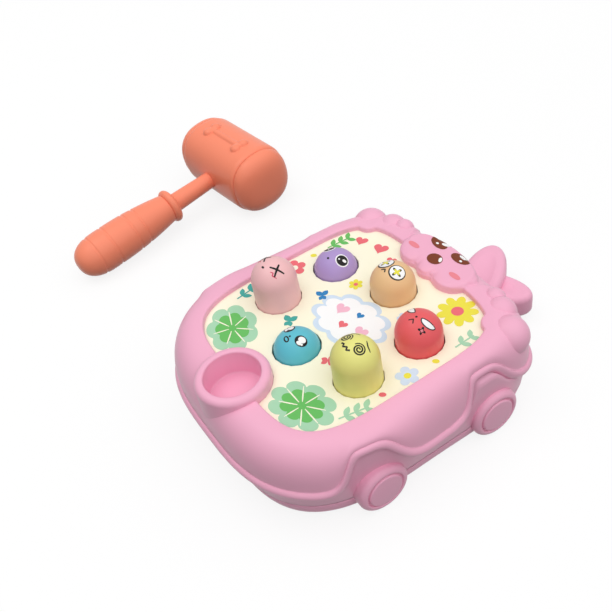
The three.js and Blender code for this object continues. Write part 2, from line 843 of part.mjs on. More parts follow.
// Mole caps and stems, made with the cap's bottom at height zero
function moleCap() {
  const innerDome = moleDomeHeight - moleWall;
  const skirtInside = moleSkirtRadius - moleWall;
  const socket = stemRodRadius + stemFit;
  const profile = [[0, stemSocketDepth], [socket, stemSocketDepth], [socket, 0], [socket + moleWall, 0]];
  const socketTopShare = 0.94;
  profile.push([socket + moleWall, capHeight + innerDome * socketTopShare]);
  for (const turn of innerDomeTurns) {
    profile.push([(moleShoulderRadius - moleWall) * Math.cos(turn), capHeight + innerDome * Math.sin(turn)]);
  }
  profile.push([skirtInside, 0], [moleFlangeRadius, 0], [moleFlangeRadius, moleFlangeThickness]);
  profile.push([moleSkirtRadius, moleFlangeThickness]);
  for (const turn of domeTurns) {
    profile.push([moleShoulderRadius * Math.cos(turn), capHeight + moleDomeHeight * Math.sin(turn)]);
  }
  profile.push([0, capHeight + moleDomeHeight]);
  return geometryOf(solidOf(turned(profile, moleSteps)));
}

// Stem: a rod whose rounded tip rests on its rocker's nose
function moleStem() {
  const tip = stemTipRaised - capBottomRaised;
  const profile = [[0, tip]];
  for (const turn of tipTurns) {
    profile.push([stemRodRadius * Math.sin(turn), tip + stemRodRadius * (1 - Math.cos(turn))]);
  }
  profile.push([stemRodRadius, stemSocketDepth - stemFit], [0, stemSocketDepth - stemFit]);
  return geometryOf(solidOf(turned(profile, stemSteps)));
}

// Rocker: hub, two waisted arms and round noses, cut through for its pin
function rockerBeam(arm) {
  const outline = new THREE.Shape();
  const waist = rockerWaist;
  const lean = Math.asin(waist / rockerNoseRadius);
  const lift = Math.asin(waist / rockerHubRadius);
  outline.absarc(arm, 0, rockerNoseRadius, -Math.PI + lean, Math.PI - lean);
  outline.absarc(0, 0, rockerHubRadius, lift, Math.PI - lift);
  outline.absarc(-arm, 0, rockerNoseRadius, lean, 2 * Math.PI - lean);
  outline.absarc(0, 0, rockerHubRadius, Math.PI + lift, 2 * Math.PI - lift);
  outline.closePath();
  const bore = new THREE.Path();
  bore.absarc(0, 0, pinRadius + pinClearance, 0, 2 * Math.PI, true);
  outline.holes.push(bore);
  const shape = { depth: rockerWidth, bevelEnabled: false, curveSegments: 4 };
  const beam = new THREE.ExtrudeGeometry(outline, shape);
  return solidOf(beam.translate(0, 0, -rockerWidth / 2).rotateX(quarterTurn));
}

function rockerPin() {
  const length = rockerWidth + 2 * postGap + 2 * postThickness;
  return solidOf(new THREE.CylinderGeometry(pinRadius, pinRadius, length, smallSteps));
}

// Self-tapping screw: its head under the joint, its shank pointing up
function screw(length) {
  const tipShare = 0.25;
  const profile = [[0, -screwHeadHeight], [screwHeadRadius, -screwHeadHeight], [screwHeadRadius, 0]];
  profile.push([screwRadius, 0], [screwRadius, length * (1 - tipShare)], [0, length]);
  return geometryOf(solidOf(turned(profile, screwSteps)));
}

// Hammer: local Y runs from the grip's end to the head, local X along the head, local Z up
function alongY(geometry) {
  return geometry.rotateX(-quarterTurn);
}

function alongX(geometry) {
  return geometry.rotateY(quarterTurn);
}

const gripDomeShares = [[0.42, 0.015], [0.74, 0.06], [0.93, 0.14]];
const gripBandShares = [[0.98, 0.2], [1, 0.4], [0.99, 0.55], [0.91, 0.72], [0.8, 0.88]];
const gripTop = hammerGripLength;
const shaftTop = gripTop + hammerCollarThickness + hammerShaftLength;
const headAxis = shaftTop + hammerHeadRadius;

function hammerGrip() {
  const socket = hammerSpigotRadius + hammerFit;
  const profile = [[0, 0]];
  for (const [out, up] of [...gripDomeShares, ...gripBandShares]) {
    profile.push([hammerGripRadius * out, hammerGripLength * up]);
  }
  const socketFloor = gripTop - hammerSpigotLength - hammerFit;
  profile.push([hammerGripNeck, gripTop], [socket, gripTop], [socket, socketFloor], [0, socketFloor]);
  return solidOf(alongY(turned(profile)));
}

function hammerShaft() {
  const low = gripTop + hammerFit;
  const collarTop = gripTop + hammerCollarThickness;
  const half = hammerCollarThickness / 2;
  const foot = gripTop - hammerSpigotLength;
  const tip = shaftTop + hammerHeadRadius * socketShare;
  const profile = [[0, foot], [hammerSpigotRadius, foot], [hammerSpigotRadius, low]];
  for (const turn of collarTurns) {
    const out = hammerCollarRadius - half + half * Math.cos(turn);
    profile.push([out, gripTop + half + (half - hammerFit) * Math.sin(turn)]);
  }
  profile.push([hammerShaftRadius, collarTop], [hammerShaftTopRadius, shaftTop - hammerFit]);
  profile.push([hammerSpigotRadius, shaftTop - hammerFit], [hammerSpigotRadius, tip], [0, tip]);
  return solidOf(alongY(turned(profile)));
}

// Barrel of the head, a little fuller between its two ends
function headBarrel() {
  const half = hammerHeadLength / 2;
  const inner = hammerHeadRadius - hammerWall;
  const rimRadius = hammerHeadRadius - hammerGroove;
  const softShares = [[0, 0], [0.67, 0.065], [1, 0.2]];
  const soft = softShares.map(([out, along]) => [rimRadius + hammerGroove * out, half * (1 - along)]);
  const profile = [[inner, -half], ...soft.map(([radius, along]) => [radius, -along])];
  profile.push(...soft.reverse(), [inner, half], [inner, -half]);
  return solidOf(alongX(turned(profile, hammerSteps)).translate(0, headAxis, 0));
}

function boneRelief() {
  const surface = hammerHeadRadius - boneRodRadius / 2;
  const rod = new THREE.CylinderGeometry(boneRodRadius, boneRodRadius, 2 * boneHalfLength, smallSteps);
  const parts = [solidOf(rod.rotateZ(quarterTurn).translate(0, headAxis, surface))];
  for (const end of [-1, 1]) {
    for (const side of [-1, 1]) {
      const knob = new THREE.SphereGeometry(boneKnobRadius, boneSteps, boneSteps - 2);
      const across = headAxis + side * boneKnobRadius * boneKnobShare;
      parts.push(solidOf(knob.translate(end * boneHalfLength, across, surface - boneRodRadius / 2)));
    }
  }
  return unite(parts);
}

function spotPrism(place, grow) {
  const prism = new THREE.CylinderGeometry(1, 1, hammerHeadRadius, roundSteps);
  prism.scale(spotHalfLength + grow, 1, spotHalfWidth + grow);
  const reach = headAxis + hammerHeadRadius / 2 + hammerHeadRadius * spotReachShare;
  return solidOf(prism.translate(place, reach, 0));
}

function spotLayer(low, high) {
  const half = hammerHeadLength / 2;
  const ring = turned([[low, -half], [high, -half], [high, half], [low, half], [low, -half]], hammerSteps);
  return solidOf(alongX(ring).translate(0, headAxis, 0));
}

function hammerSpot(place) {
  const layer = spotLayer(hammerHeadRadius - spotDepth + hammerFit, hammerHeadRadius + hammerFit);
  return spotPrism(place, 0).intersect(layer);
}

function hammerHead() {
  const boreRadius = hammerSpigotRadius + hammerFit;
  const socketTop = shaftTop + hammerHeadRadius * socketShare + 2 * hammerFit;
  const socket = solidOf(alongY(drum(boreRadius + hammerWall, shaftTop, socketTop)));
  const bore = solidOf(alongY(drum(boreRadius, shaftTop - hammerHeadRadius, socketTop + overrun)));
  const recess = spotLayer(hammerHeadRadius - spotDepth, hammerHeadRadius + overrun);
  const seats = unite([-1, 1].map((side) => spotPrism(side * spotSpacing, hammerFit))).intersect(recess);
  const half = hammerHeadLength / 2 - hammerWall;
  const room = alongX(drum(hammerHeadRadius - hammerWall, -half, half, hammerSteps));
  const bone = boneRelief().subtract(solidOf(room.translate(0, headAxis, 0)));
  return cut(unite([headBarrel(), bone, socket]), [bore, seats]);
}

// Domed end of the head, with a stepped spigot inside the barrel
function hammerEnd(side) {
  const half = hammerHeadLength / 2 + hammerFit;
  const edge = hammerHeadRadius - hammerGroove;
  const spigot = hammerHeadRadius - hammerWall - hammerFit;
  const spigotFoot = half - 2 * hammerWall;
  const floor = half - hammerWall;
  const fullness = 0.7;
  const profile = [[0, floor], [spigot - hammerWall, floor], [spigot - hammerWall, spigotFoot]];
  profile.push([spigot, spigotFoot], [spigot, half], [edge, half]);
  for (const turn of endTurns) {
    profile.push([edge * Math.cos(turn) ** fullness, half + hammerDome * Math.sin(turn)]);
  }
  profile.push([0, half + hammerDome]);
  return solidOf(alongX(turned(profile, hammerEndSteps)).scale(side, 1, 1).translate(0, headAxis, 0));
}

// Assembly
const game = new THREE.Group();
game.name = 'mole_pounding_game';

function addPiece(parent, name, geometry, colour, roughness = 0.4, metalness = 0) {
  const material = new THREE.MeshStandardMaterial({ color: colour, roughness, metalness });
  const mesh = new THREE.Mesh(geometry, material);
  mesh.name = name;
  parent.add(mesh);
  return mesh;
}

addPiece(game, 'upper_case', geometryOf(upperCase()), colours.case);
addPiece(game, 'lower_case', geometryOf(lowerCase()), colours.case);
addPiece(game, 'play_board', geometryOf(playBoard()), colours.board);
addPiece(game, 'board_sheet', geometryOf(printedSheet()), colours.sheet, 0.5);
addPiece(game, 'guide_plate', geometryOf(guidePlate()), colours.inner);

const capGeometry = moleCap();
const stemGeometry = moleStem();
for (const [name, { x, y, share }] of Object.entries(moles)) {
  const group = new THREE.Group();
  group.position.set(x, y, capBottomRaised - (1 - share) * moleTravel);
  game.add(group);
  addPiece(group, `mole_${name}`, capGeometry, moleColours[name]);
  addPiece(group, `stem_${name}`, stemGeometry, colours.inner);
}

for (const [name, pair] of Object.entries(rockers)) {
  const frame = rockerFrame(pair);
  const group = new THREE.Group();
  group.position.set(frame.x, frame.y, pivotHeight);
  group.rotation.set(0, 0, frame.heading);
  game.add(group);
  const beam = addPiece(group, `rocker_${name}`, geometryOf(rockerBeam(frame.arm)), colours.inner);
  beam.rotation.y = -frame.tilt;
  addPiece(group, `pin_${name}`, geometryOf(rockerPin()), colours.steel, 0.3, 1);
}

function addScrews(name, places, length, height) {
  const geometry = screw(length);
  places.forEach((place, i) => {
    const mesh = addPiece(game, `${name}_${i + 1}`, geometry, colours.steel, 0.35, 1);
    mesh.position.set(place.x, place.y, height);
  });
}

addScrews('case_screw', caseScrewPlaces, caseScrewLength, counterboreDepth);
addScrews('board_screw', boardScrewPlaces, boardScrewLength, boardBottom);
addScrews('guide_screw', guideScrewPlaces, guideScrewLength, guideTop - guideThickness);

const hammer = new THREE.Group();
const groundHeight = wheelHeight - wheelRadius;
const [restOutShare, restUpShare] = gripBandShares[0];
const restRadius = hammerGripRadius * restOutShare;
const restPlace = hammerGripLength * restUpShare;
const hammerLean = Math.asin((hammerHeadRadius - restRadius) / (headAxis - restPlace));
const hammerFoot = groundHeight + hammerHeadRadius - headAxis * Math.sin(hammerLean);
hammer.position.set(hammerPlace.x, hammerPlace.y, hammerFoot);
hammer.rotation.set(hammerLean, 0, hammerHeading, 'ZXY');
game.add(hammer);
addPiece(hammer, 'hammer_head', geometryOf(hammerHead()), colours.hammer);
addPiece(hammer, 'hammer_end_left', geometryOf(hammerEnd(-1)), colours.hammer);
addPiece(hammer, 'hammer_end_right', geometryOf(hammerEnd(1)), colours.hammer);
addPiece(hammer, 'hammer_spot_left', geometryOf(hammerSpot(-spotSpacing)), colours.spot);
addPiece(hammer, 'hammer_spot_right', geometryOf(hammerSpot(spotSpacing)), colours.spot);
addPiece(hammer, 'hammer_shaft', geometryOf(hammerShaft()), colours.hammer);
addPiece(hammer, 'hammer_grip', geometryOf(hammerGrip()), colours.hammer);

export default game;
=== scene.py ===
import math
import bmesh
import bpy
import numpy as np
from mathutils import Matrix, Vector


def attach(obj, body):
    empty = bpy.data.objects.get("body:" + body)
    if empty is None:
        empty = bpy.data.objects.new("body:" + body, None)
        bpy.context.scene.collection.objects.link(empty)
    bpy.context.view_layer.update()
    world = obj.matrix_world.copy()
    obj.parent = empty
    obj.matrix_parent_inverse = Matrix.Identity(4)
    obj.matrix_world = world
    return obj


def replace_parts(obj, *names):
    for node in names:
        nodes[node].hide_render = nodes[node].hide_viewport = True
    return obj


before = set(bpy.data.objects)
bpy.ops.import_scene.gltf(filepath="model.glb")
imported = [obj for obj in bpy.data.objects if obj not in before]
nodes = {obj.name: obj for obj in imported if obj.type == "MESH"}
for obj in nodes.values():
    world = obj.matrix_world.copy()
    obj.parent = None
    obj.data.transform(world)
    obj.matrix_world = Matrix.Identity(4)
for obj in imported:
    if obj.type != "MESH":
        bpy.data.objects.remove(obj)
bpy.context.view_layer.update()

# The camera stands over the case's rear right corner, rolled a little, as in the photograph
view = {
    "target": (0.00499, 0.00258, 0.061), "distance": 0.5434, "azimuth": 61.12, "elevation": 44.85, "roll": -8.91,
    "lens": 50.11, "shiftX": -0.0786, "shiftY": 0.0239,
}


# From the target back along azimuth and elevation, then rolled about that line
def makeCamera():
    data = bpy.data.cameras.new("camera")
    data.lens = view["lens"]
    data.sensor_width = 36.0
    data.shift_x = view["shiftX"]
    data.shift_y = view["shiftY"]
    data.clip_start = 0.01
    data.clip_end = 20.0
    az = math.radians(view["azimuth"])
    el = math.radians(view["elevation"])
    roll = math.radians(view["roll"])
    back = Vector((math.sin(az) * math.cos(el), -math.cos(az) * math.cos(el), math.sin(el)))
    right = Vector((math.cos(az), math.sin(az), 0.0))
    up = back.cross(right)
    sideways = right * math.cos(roll) + up * math.sin(roll)
    upwards = up * math.cos(roll) - right * math.sin(roll)
    place = Vector(view["target"]) + back * view["distance"]
    camera = bpy.data.objects.new("camera", data)
    camera.matrix_world = Matrix((
        (sideways.x, upwards.x, back.x, place.x),
        (sideways.y, upwards.y, back.y, place.y),
        (sideways.z, upwards.z, back.z, place.z),
        (0.0, 0.0, 0.0, 1.0),
    ))
    bpy.context.scene.collection.objects.link(camera)
    bpy.context.scene.camera = camera


makeCamera()
print("camera set")


# Shader sockets with ordinary arithmetic
class Wire:
    def __init__(self, tree, socket):
        self.tree = tree
        self.socket = socket

    def add(self, kind, settings=None, sockets=None, output=0):
        node = self.tree.nodes.new(kind)
        for key, value in (settings or {}).items():
            setattr(node, key, value)
        for key, value in (sockets or {}).items():
            if isinstance(value, Wire):
                self.tree.links.new(value.socket, node.inputs[key])
            else:
                node.inputs[key].default_value = value
        return Wire(self.tree, node.outputs[output])

    def math(self, operation, *others, clamp=False):
        values = {0: self}
        for i, other in enumerate(others):
            values[i + 1] = other
        return self.add("ShaderNodeMath", {"operation": operation, "use_clamp": clamp}, values)

    def __add__(self, other):
        return self.math("ADD", other)

    def __sub__(self, other):
        return self.math("SUBTRACT", other)

    def __mul__(self, other):
        return self.math("MULTIPLY", other)

    def mix(self, first, second):
        return self.add("ShaderNodeMix", {"data_type": "RGBA"}, {0: self, 6: first, 7: second}, 2)

    def along(self, direction):
        return self.add("ShaderNodeVectorMath", {"operation": "DOT_PRODUCT"}, {0: self, 1: direction}, 1)


# A colour as written, to the linear values that a shader takes
def toLinear(hexColour):
    parts = np.array([int(hexColour[i:i + 2], 16) for i in (1, 3, 5)]) / 255.0
    values = np.where(parts <= 0.04045, parts / 12.92, ((parts + 0.055) / 1.055) ** 2.4)
    return tuple(values) + (1.0,)


plasticLook = {
    "mottleScale": 9.0, "mottle": 0.48, "mottleBase": 0.25, "shade": 0.9,
    "grainScale": 900.0, "grainBump": 0.05, "grainDepth": 0.0002,
    "roughness": 0.36, "roughnessSpread": 0.08, "coat": 0.06, "coatRoughness": 0.25, "specular": 0.25,
}


# Moulded plastic: a faint cloudiness in the colour, an even satin grain and a light gloss
def plastic(name, colour, roughness=None, shade=None, coat=None, bump=1.0):
    look = plasticLook
    material = bpy.data.materials.new(name)
    material.use_nodes = True
    tree = material.node_tree
    shader = tree.nodes["Principled BSDF"]
    place = Wire(tree, tree.nodes.new("ShaderNodeTexCoord").outputs["Object"])
    cloud = place.add("ShaderNodeTexNoise", {}, {"Vector": place, "Scale": look["mottleScale"], "Detail": 3.0})
    grain = place.add("ShaderNodeTexNoise", {}, {"Vector": place, "Scale": look["grainScale"], "Detail": 2.0})
    base = toLinear(colour)
    deep = toLinear(shade) if shade else tuple(v * look["shade"] for v in base[:3]) + (1.0,)
    tint = ((cloud - 0.5) * look["mottle"]).math("ADD", look["mottleBase"], clamp=True)
    tree.links.new(tint.mix(base, deep).socket, shader.inputs["Base Color"])
    rough = roughness if roughness is not None else look["roughness"]
    spread = look["roughnessSpread"]
    tree.links.new((grain * spread + (rough - spread / 2.0)).socket, shader.inputs["Roughness"])
    relief = {"Height": grain, "Strength": look["grainBump"] * bump, "Distance": look["grainDepth"]}
    raised = place.add("ShaderNodeBump", {}, relief)
    tree.links.new(raised.socket, shader.inputs["Normal"])
    shader.inputs["Coat Weight"].default_value = look["coat"] if coat is None else coat
    shader.inputs["Coat Roughness"].default_value = look["coatRoughness"]
    shader.inputs["Specular IOR Level"].default_value = look["specular"]
    return material


colours = {
    "case": ("#f5b4ce", "#f2adc8"),
    "board": ("#fbf5dc", "#f6efd2"),
    "hammer": ("#fe9272", "#fb8c6b"),
    "spot": ("#f5e4d8", "#efdccd"),
    "inner": ("#e9e6df", "#dfdcd4"),
    "mole_pink": ("#f6c3c5", "#f3babd"),
    "mole_purple": ("#b39ad2", "#ab90cc"),
    "mole_tan": ("#f0c592", "#ebbd88"),
    "mole_teal": ("#62c2d4", "#57b9cc"),
    "mole_yellow": ("#eeea8a", "#e8e380"),
    "mole_red": ("#ee6468", "#e8585d"),
}
inks = {
    "brown": "#7a3514", "blush": "#f28a96", "white": "#fdfdfd", "black": "#1c1a1a", "crimson": "#d8486a",
    "cream": "#fdf9e2", "peach": "#fbe0cb", "paleGreen": "#a9d9b5", "green": "#69bf62", "teal": "#45ada3",
    "coral": "#ee6f78", "yellow": "#efe64a", "blue": "#2f83c0", "sky": "#d3e4f5", "rose": "#f7bcd0",
}


filmLook = {
    "ground": "#fefbe2", "shade": "#fbf4d8", "peach": "#fdebd6",
    "cloudScale": 16.0, "cloudStart": 0.5, "cloudGain": 2.4,
    "roughness": 0.45, "inkRoughness": 0.42, "coat": 0.05, "bump": 0.2,
}


# Printed film: the cream ground with a peach tint that comes and goes in broad clouds
def film(name):
    look = filmLook
    material = plastic(name, look["ground"], look["roughness"], look["shade"], look["coat"], look["bump"])
    tree = material.node_tree
    shader = tree.nodes["Principled BSDF"]
    place = Wire(tree, tree.nodes.new("ShaderNodeTexCoord").outputs["Object"])
    cloud = place.add("ShaderNodeTexNoise", {}, {"Vector": place, "Scale": look["cloudScale"], "Detail": 1.0})
    share = (cloud - look["cloudStart"]).math("MULTIPLY", look["cloudGain"], clamp=True)
    ground = Wire(tree, shader.inputs["Base Color"].links[0].from_socket)
    tree.links.new(share.mix(ground, toLinear(look["peach"])).socket, shader.inputs["Base Color"])
    return material


# Plated steel: bare metal whose shine varies a little
def steel(name):
    material = plastic(name, "#b9bcc0", roughness=0.3, coat=0.0, bump=0.4)
    material.node_tree.nodes["Principled BSDF"].inputs["Metallic"].default_value = 1.0
    return material


paints = {name: plastic(name, pair[0], shade=pair[1]) for name, pair in colours.items()}
inked = {"roughness": filmLook["inkRoughness"], "coat": filmLook["coat"], "bump": filmLook["bump"]}
for name, tint in inks.items():
    paints[name] = plastic("ink " + name, tint, **inked)
paints["film"] = film("printed film")
paints["steel"] = steel("steel")
print("materials made")


# One mesh from grids of points in millimetres; a closed grid joins its last column to its first
def shell(name, grids, paint, body, closed=True, keep=None, centre=None):
    places, faces, count = [], [], 0
    for grid in grids:
        rows, columns = grid.shape[:2]
        index = np.arange(rows * columns).reshape(rows, columns) + count
        right = np.roll(index, -1, axis=1) if closed else index[:, 1:]
        left = index if closed else index[:, :-1]
        quads = np.stack([left[:-1], right[:-1], right[1:], left[1:]], axis=-1)
        if keep is not None:
            middles = grid.reshape(-1, 3)[quads - count].mean(axis=-2)
            quads = quads[keep(middles)]
        faces.append(quads.reshape(-1, 4))
        places.append(grid.reshape(-1, 3) * 0.001)
        count += rows * columns
    mesh = bpy.data.meshes.new(name)
    mesh.from_pydata(np.concatenate(places), [], np.concatenate(faces))
    bm = bmesh.new()
    bm.from_mesh(mesh)
    bmesh.ops.remove_doubles(bm, verts=bm.verts, dist=1e-6)
    bmesh.ops.dissolve_degenerate(bm, dist=1e-7, edges=bm.edges)
    bmesh.ops.delete(bm, geom=[v for v in bm.verts if not v.link_faces], context="VERTS")
    bmesh.ops.recalc_face_normals(bm, faces=bm.faces)
    bm.to_mesh(mesh)
    bm.free()
    normals = np.empty(len(mesh.polygons) * 3)
    middles = np.empty(len(mesh.polygons) * 3)
    mesh.polygons.foreach_get("normal", normals)
    mesh.polygons.foreach_get("center", middles)
    away = middles.reshape(-1, 3) - np.array(centre) * 0.001
    if np.einsum("ij,ij->i", normals.reshape(-1, 3), away).sum() < 0:
        mesh.flip_normals()
    mesh.polygons.foreach_set("use_smooth", np.ones(len(mesh.polygons), bool))
    mesh.materials.append(paints[paint])
    piece = bpy.data.objects.new(name, mesh)
    bpy.context.scene.collection.objects.link(piece)
    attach(piece, body)
    slotOf(paint, body)
    return piece


slots = {"case": "case_plastic", "hammer": "hammer_plastic", "spot": "spot_plastic"}


# The material slot that a paint belongs to; an ink goes with the body that it is printed on
def slotOf(paint, body):
    if paint.startswith("mole_"):
        return paint + "_plastic"
    if body.endswith("_mole"):
        return "mole_" + body[:-5] + "_plastic"
    return slots.get(paint, "printed_sheet")


# Even turns once round
def spin(count):
    return np.linspace(0.0, 2.0 * np.pi, count, endpoint=False)


# Quarter of a circle from one side to the other, as pairs of shares
def quarter(count):
    turn = np.linspace(0.0, np.pi / 2.0, count)
    return [(math.cos(t), math.sin(t)) for t in turn]


# Points (u, v) turned by a heading and moved to (x, y), at a height if one is given
def turned(u, v, heading, x, y, z=None):
    c, s = math.cos(heading), math.sin(heading)
    flat = [x + u * c - v * s, y + u * s + v * c]
    return np.stack(flat if z is None else flat + [z + 0.0 * u], axis=-1)


# Profile of radius and height turned about a vertical axis through (x, y)
def lathe(profile, x=0.0, y=0.0, count=96):
    profile = np.asarray(profile, float)
    turn = spin(count)
    radius = profile[:, :1]
    return np.stack([x + radius * np.cos(turn), y + radius * np.sin(turn), profile[:, 1:] + 0.0 * turn], axis=-1)


case = {
    "halfWidth": 91.5, "rear": 107.5, "front": 95.5, "rearPower": 3.2, "frontPower": 5.2,
    "openHalfWidth": 73.0, "openRear": 81.0, "openFront": 71.0, "openRearPower": 4.4, "openFrontPower": 5.0,
    "rim": 65.0, "deck": 61.0, "sunk": 0.1, "seam": 11.15, "seamGap": 0.15, "lip": 1.6, "lipStart": 2.0,
    "trim": 29.8, "slope": -0.03, "arches": ((-49.6, 12.0, 22.0, 24.9), (38.8, 12.1, 20.5, 25.8)), "archIn": 6.4,
    "bulge": 6.0, "bulgeWidth": 39.5, "bulgePlace": -45.0,
    "shoulderPower": 2.5, "shoulderFrontPower": 3.9, "bead": 3.2, "beadOut": -0.8, "beadTurns": (1.3, -1.5),
    "beadTop": 0.96, "beadUnder": 1.1, "steepest": 2.2, "nearTurn": 0.002,
    "skirt": 1.6, "skirtSwell": 0.5, "seamIn": 4.0, "seamStep": 0.3, "ledge": 2.0, "baseIn": 6.5, "baseRound": 2.0,
    "proud": 0.02, "stations": 960,
}


# Reach of a rounded oval: (|cos| / a)^p + (|sin| / b)^p, to the power -1 / p
def ovalReach(angle, halfWidth, rear, front, rearPower, frontPower):
    ahead = np.sin(angle) > 0.0
    along = np.abs(np.sin(angle)) / np.where(ahead, front, rear)
    power = np.where(ahead, frontPower, rearPower)
    return ((np.abs(np.cos(angle)) / halfWidth) ** power + along ** power) ** (-1.0 / power)


# Outlines of the case and of its opening, as reach over the turn
def caseReach(angle):
    powers = case["rearPower"], case["frontPower"]
    return ovalReach(angle, case["halfWidth"], case["rear"], case["front"], *powers)


def openReach(angle):
    powers = case["openRearPower"], case["openFrontPower"]
    return ovalReach(angle, case["openHalfWidth"], case["openRear"], case["openFront"], *powers)


# Bell over the distance d from a place: 1 / (1 + (|d| / w)^4), with its own w before and after the place
def bell(distance, before, after):
    return 1.0 / (1.0 + (np.abs(distance) / np.where(distance < 0.0, before, after)) ** 4)


# How much of each wheel's arch stands at a turn, and how high the higher one is
def archShares(angle):
    along = caseReach(angle) * np.sin(angle)
    bells = [(bell(along - place, before, after), rise) for place, before, after, rise in case["arches"]]
    return np.maximum(*[share for share, _ in bells]), np.maximum(*[share * rise for share, rise in bells])


# How far the sides swell out over the rear wheels
def swell(angle):
    along = caseReach(angle) * np.sin(angle)
    return case["bulge"] * bell(along - case["bulgePlace"], case["bulgeWidth"], case["bulgeWidth"])


# The reach at the trim line: the case's own, swollen, and drawn in where an arch climbs
def browReach(angle):
    return caseReach(angle) + swell(angle) - case["archIn"] * archShares(angle)[0]


# The trim line's height: a slope along the case and an arch over each wheel
def trimLevel(angle):
    return case["trim"] + case["slope"] * caseReach(angle) * np.sin(angle) + archShares(angle)[1]


# Half the bead's height: its radius over the cosine of the trim line's slope, rise over run between two near turns
def beadHalf(angle):
    near, far = angle - case["nearTurn"], angle + case["nearTurn"]
    start, end = caseReach(near), caseReach(far)
    run = np.hypot(end * np.cos(far) - start * np.cos(near), end * np.sin(far) - start * np.sin(near))
    slope = np.clip((trimLevel(far) - trimLevel(near)) / run, -case["steepest"], case["steepest"])
    return case["bead"] * np.sqrt(1.0 + slope ** 2)


head = {
    "top": 67.6, "drop": 3.4, "power": 5.0, "softness": 1.6, "edgeSoftness": 2.4, "waveSoftness": 1.0,
    "foot": 20.0, "blend": 5.0, "softFrom": 6.0,
    "pads": (
        (0.0, 79.0, 33.0, 12.5), (-17.5, 74.8, 14.4, 14.2), (17.5, 74.8, 14.4, 14.2),
        (0.4, 67.6, 7.8, 7.8), (0.0, 73.0, 24.0, 11.0),
    ),
    "lobes": ((73.2, 72.0, 52.8, 13.4), (56.8, 79.4, 55.4, 11.2), (47.6, 83.0, 59.0, 7.6)),
    "waves": ((66.5, 66.0, 8.3, 8.3), (-66.5, 66.0, 8.3, 8.3)),
}


# The larger of two, rounded where they meet: (a + b + sqrt((a - b)^2 + softness^2)) / 2
def smoothMax(a, b, softness):
    return 0.5 * (a + b + np.sqrt((a - b) ** 2 + softness ** 2))


# Distance along a ray from the middle to the near side of an oval, or far away if it misses
def nearSide(angle, pad):
    x, y, a, b = pad
    ux, uy = np.cos(angle) / a, np.sin(angle) / b
    px, py = x / a, y / b
    dot = ux * px + uy * py
    span = ux ** 2 + uy ** 2
    inside = dot ** 2 - span * (px ** 2 + py ** 2 - 1.0)
    return np.where((inside > 0.0) & (dot > 0.0), (dot - np.sqrt(np.maximum(inside, 0.0))) / span, 400.0)


# The rim's inner edge: the opening's outline, pushed in by the head's pads and by the cloud lobes
def rimEdge(angle):
    edge = openReach(angle)
    for pad in head["pads"]:
        edge = -smoothMax(-edge, -nearSide(angle, pad), head["edgeSoftness"])
    for wave in head["waves"]:
        edge = -smoothMax(-edge, -nearSide(angle, wave), head["waveSoftness"])
    return edge


# The shoulder's roundness: squarer at the front, by the sixth power of the turn's sine
def shoulderPower(angle):
    ahead = np.maximum(np.sin(angle), 0.0) ** 6
    return case["shoulderPower"] + (case["shoulderFrontPower"] - case["shoulderPower"]) * ahead


# The rounded shoulder: (out)^p + (up)^p = 1 from the rim's inner edge to the trim line
def shoulderHeight(reach, angle):
    inner = rimEdge(angle) + case["lip"]
    foot = trimLevel(angle) + beadHalf(angle) * case["beadTop"]
    out = np.clip((reach - inner) / (browReach(angle) - inner), 0.0, 1.0)
    power = shoulderPower(angle)
    return foot + (case["rim"] - foot) * (1.0 - out ** power) ** (1.0 / power)


# The head's flat top: the pads' shares 1 - d^p added up and their root taken, joined softly to the shoulder
def headHeight(x, y, base):
    total = np.zeros_like(x)
    for px, py, a, b in head["pads"]:
        d = np.clip(np.hypot((x - px) / a, (y - py) / b), 0.0, 1.0)
        total = total + 1.0 - d ** head["power"]
    pad = head["top"] - head["drop"] * (1.0 - np.sqrt(np.minimum(total, 1.0)))
    softness = head["softness"] * np.clip(total * head["softFrom"], 0.0, 1.0)
    return np.where(total > 0.0, smoothMax(base, pad, softness), base)


# Rings of reach and height round the upright as one grid of points
def ringsToGrid(angle, rings):
    return np.stack([np.stack([r * np.cos(angle), r * np.sin(angle), z + 0.0 * angle], axis=-1) for r, z in rings])


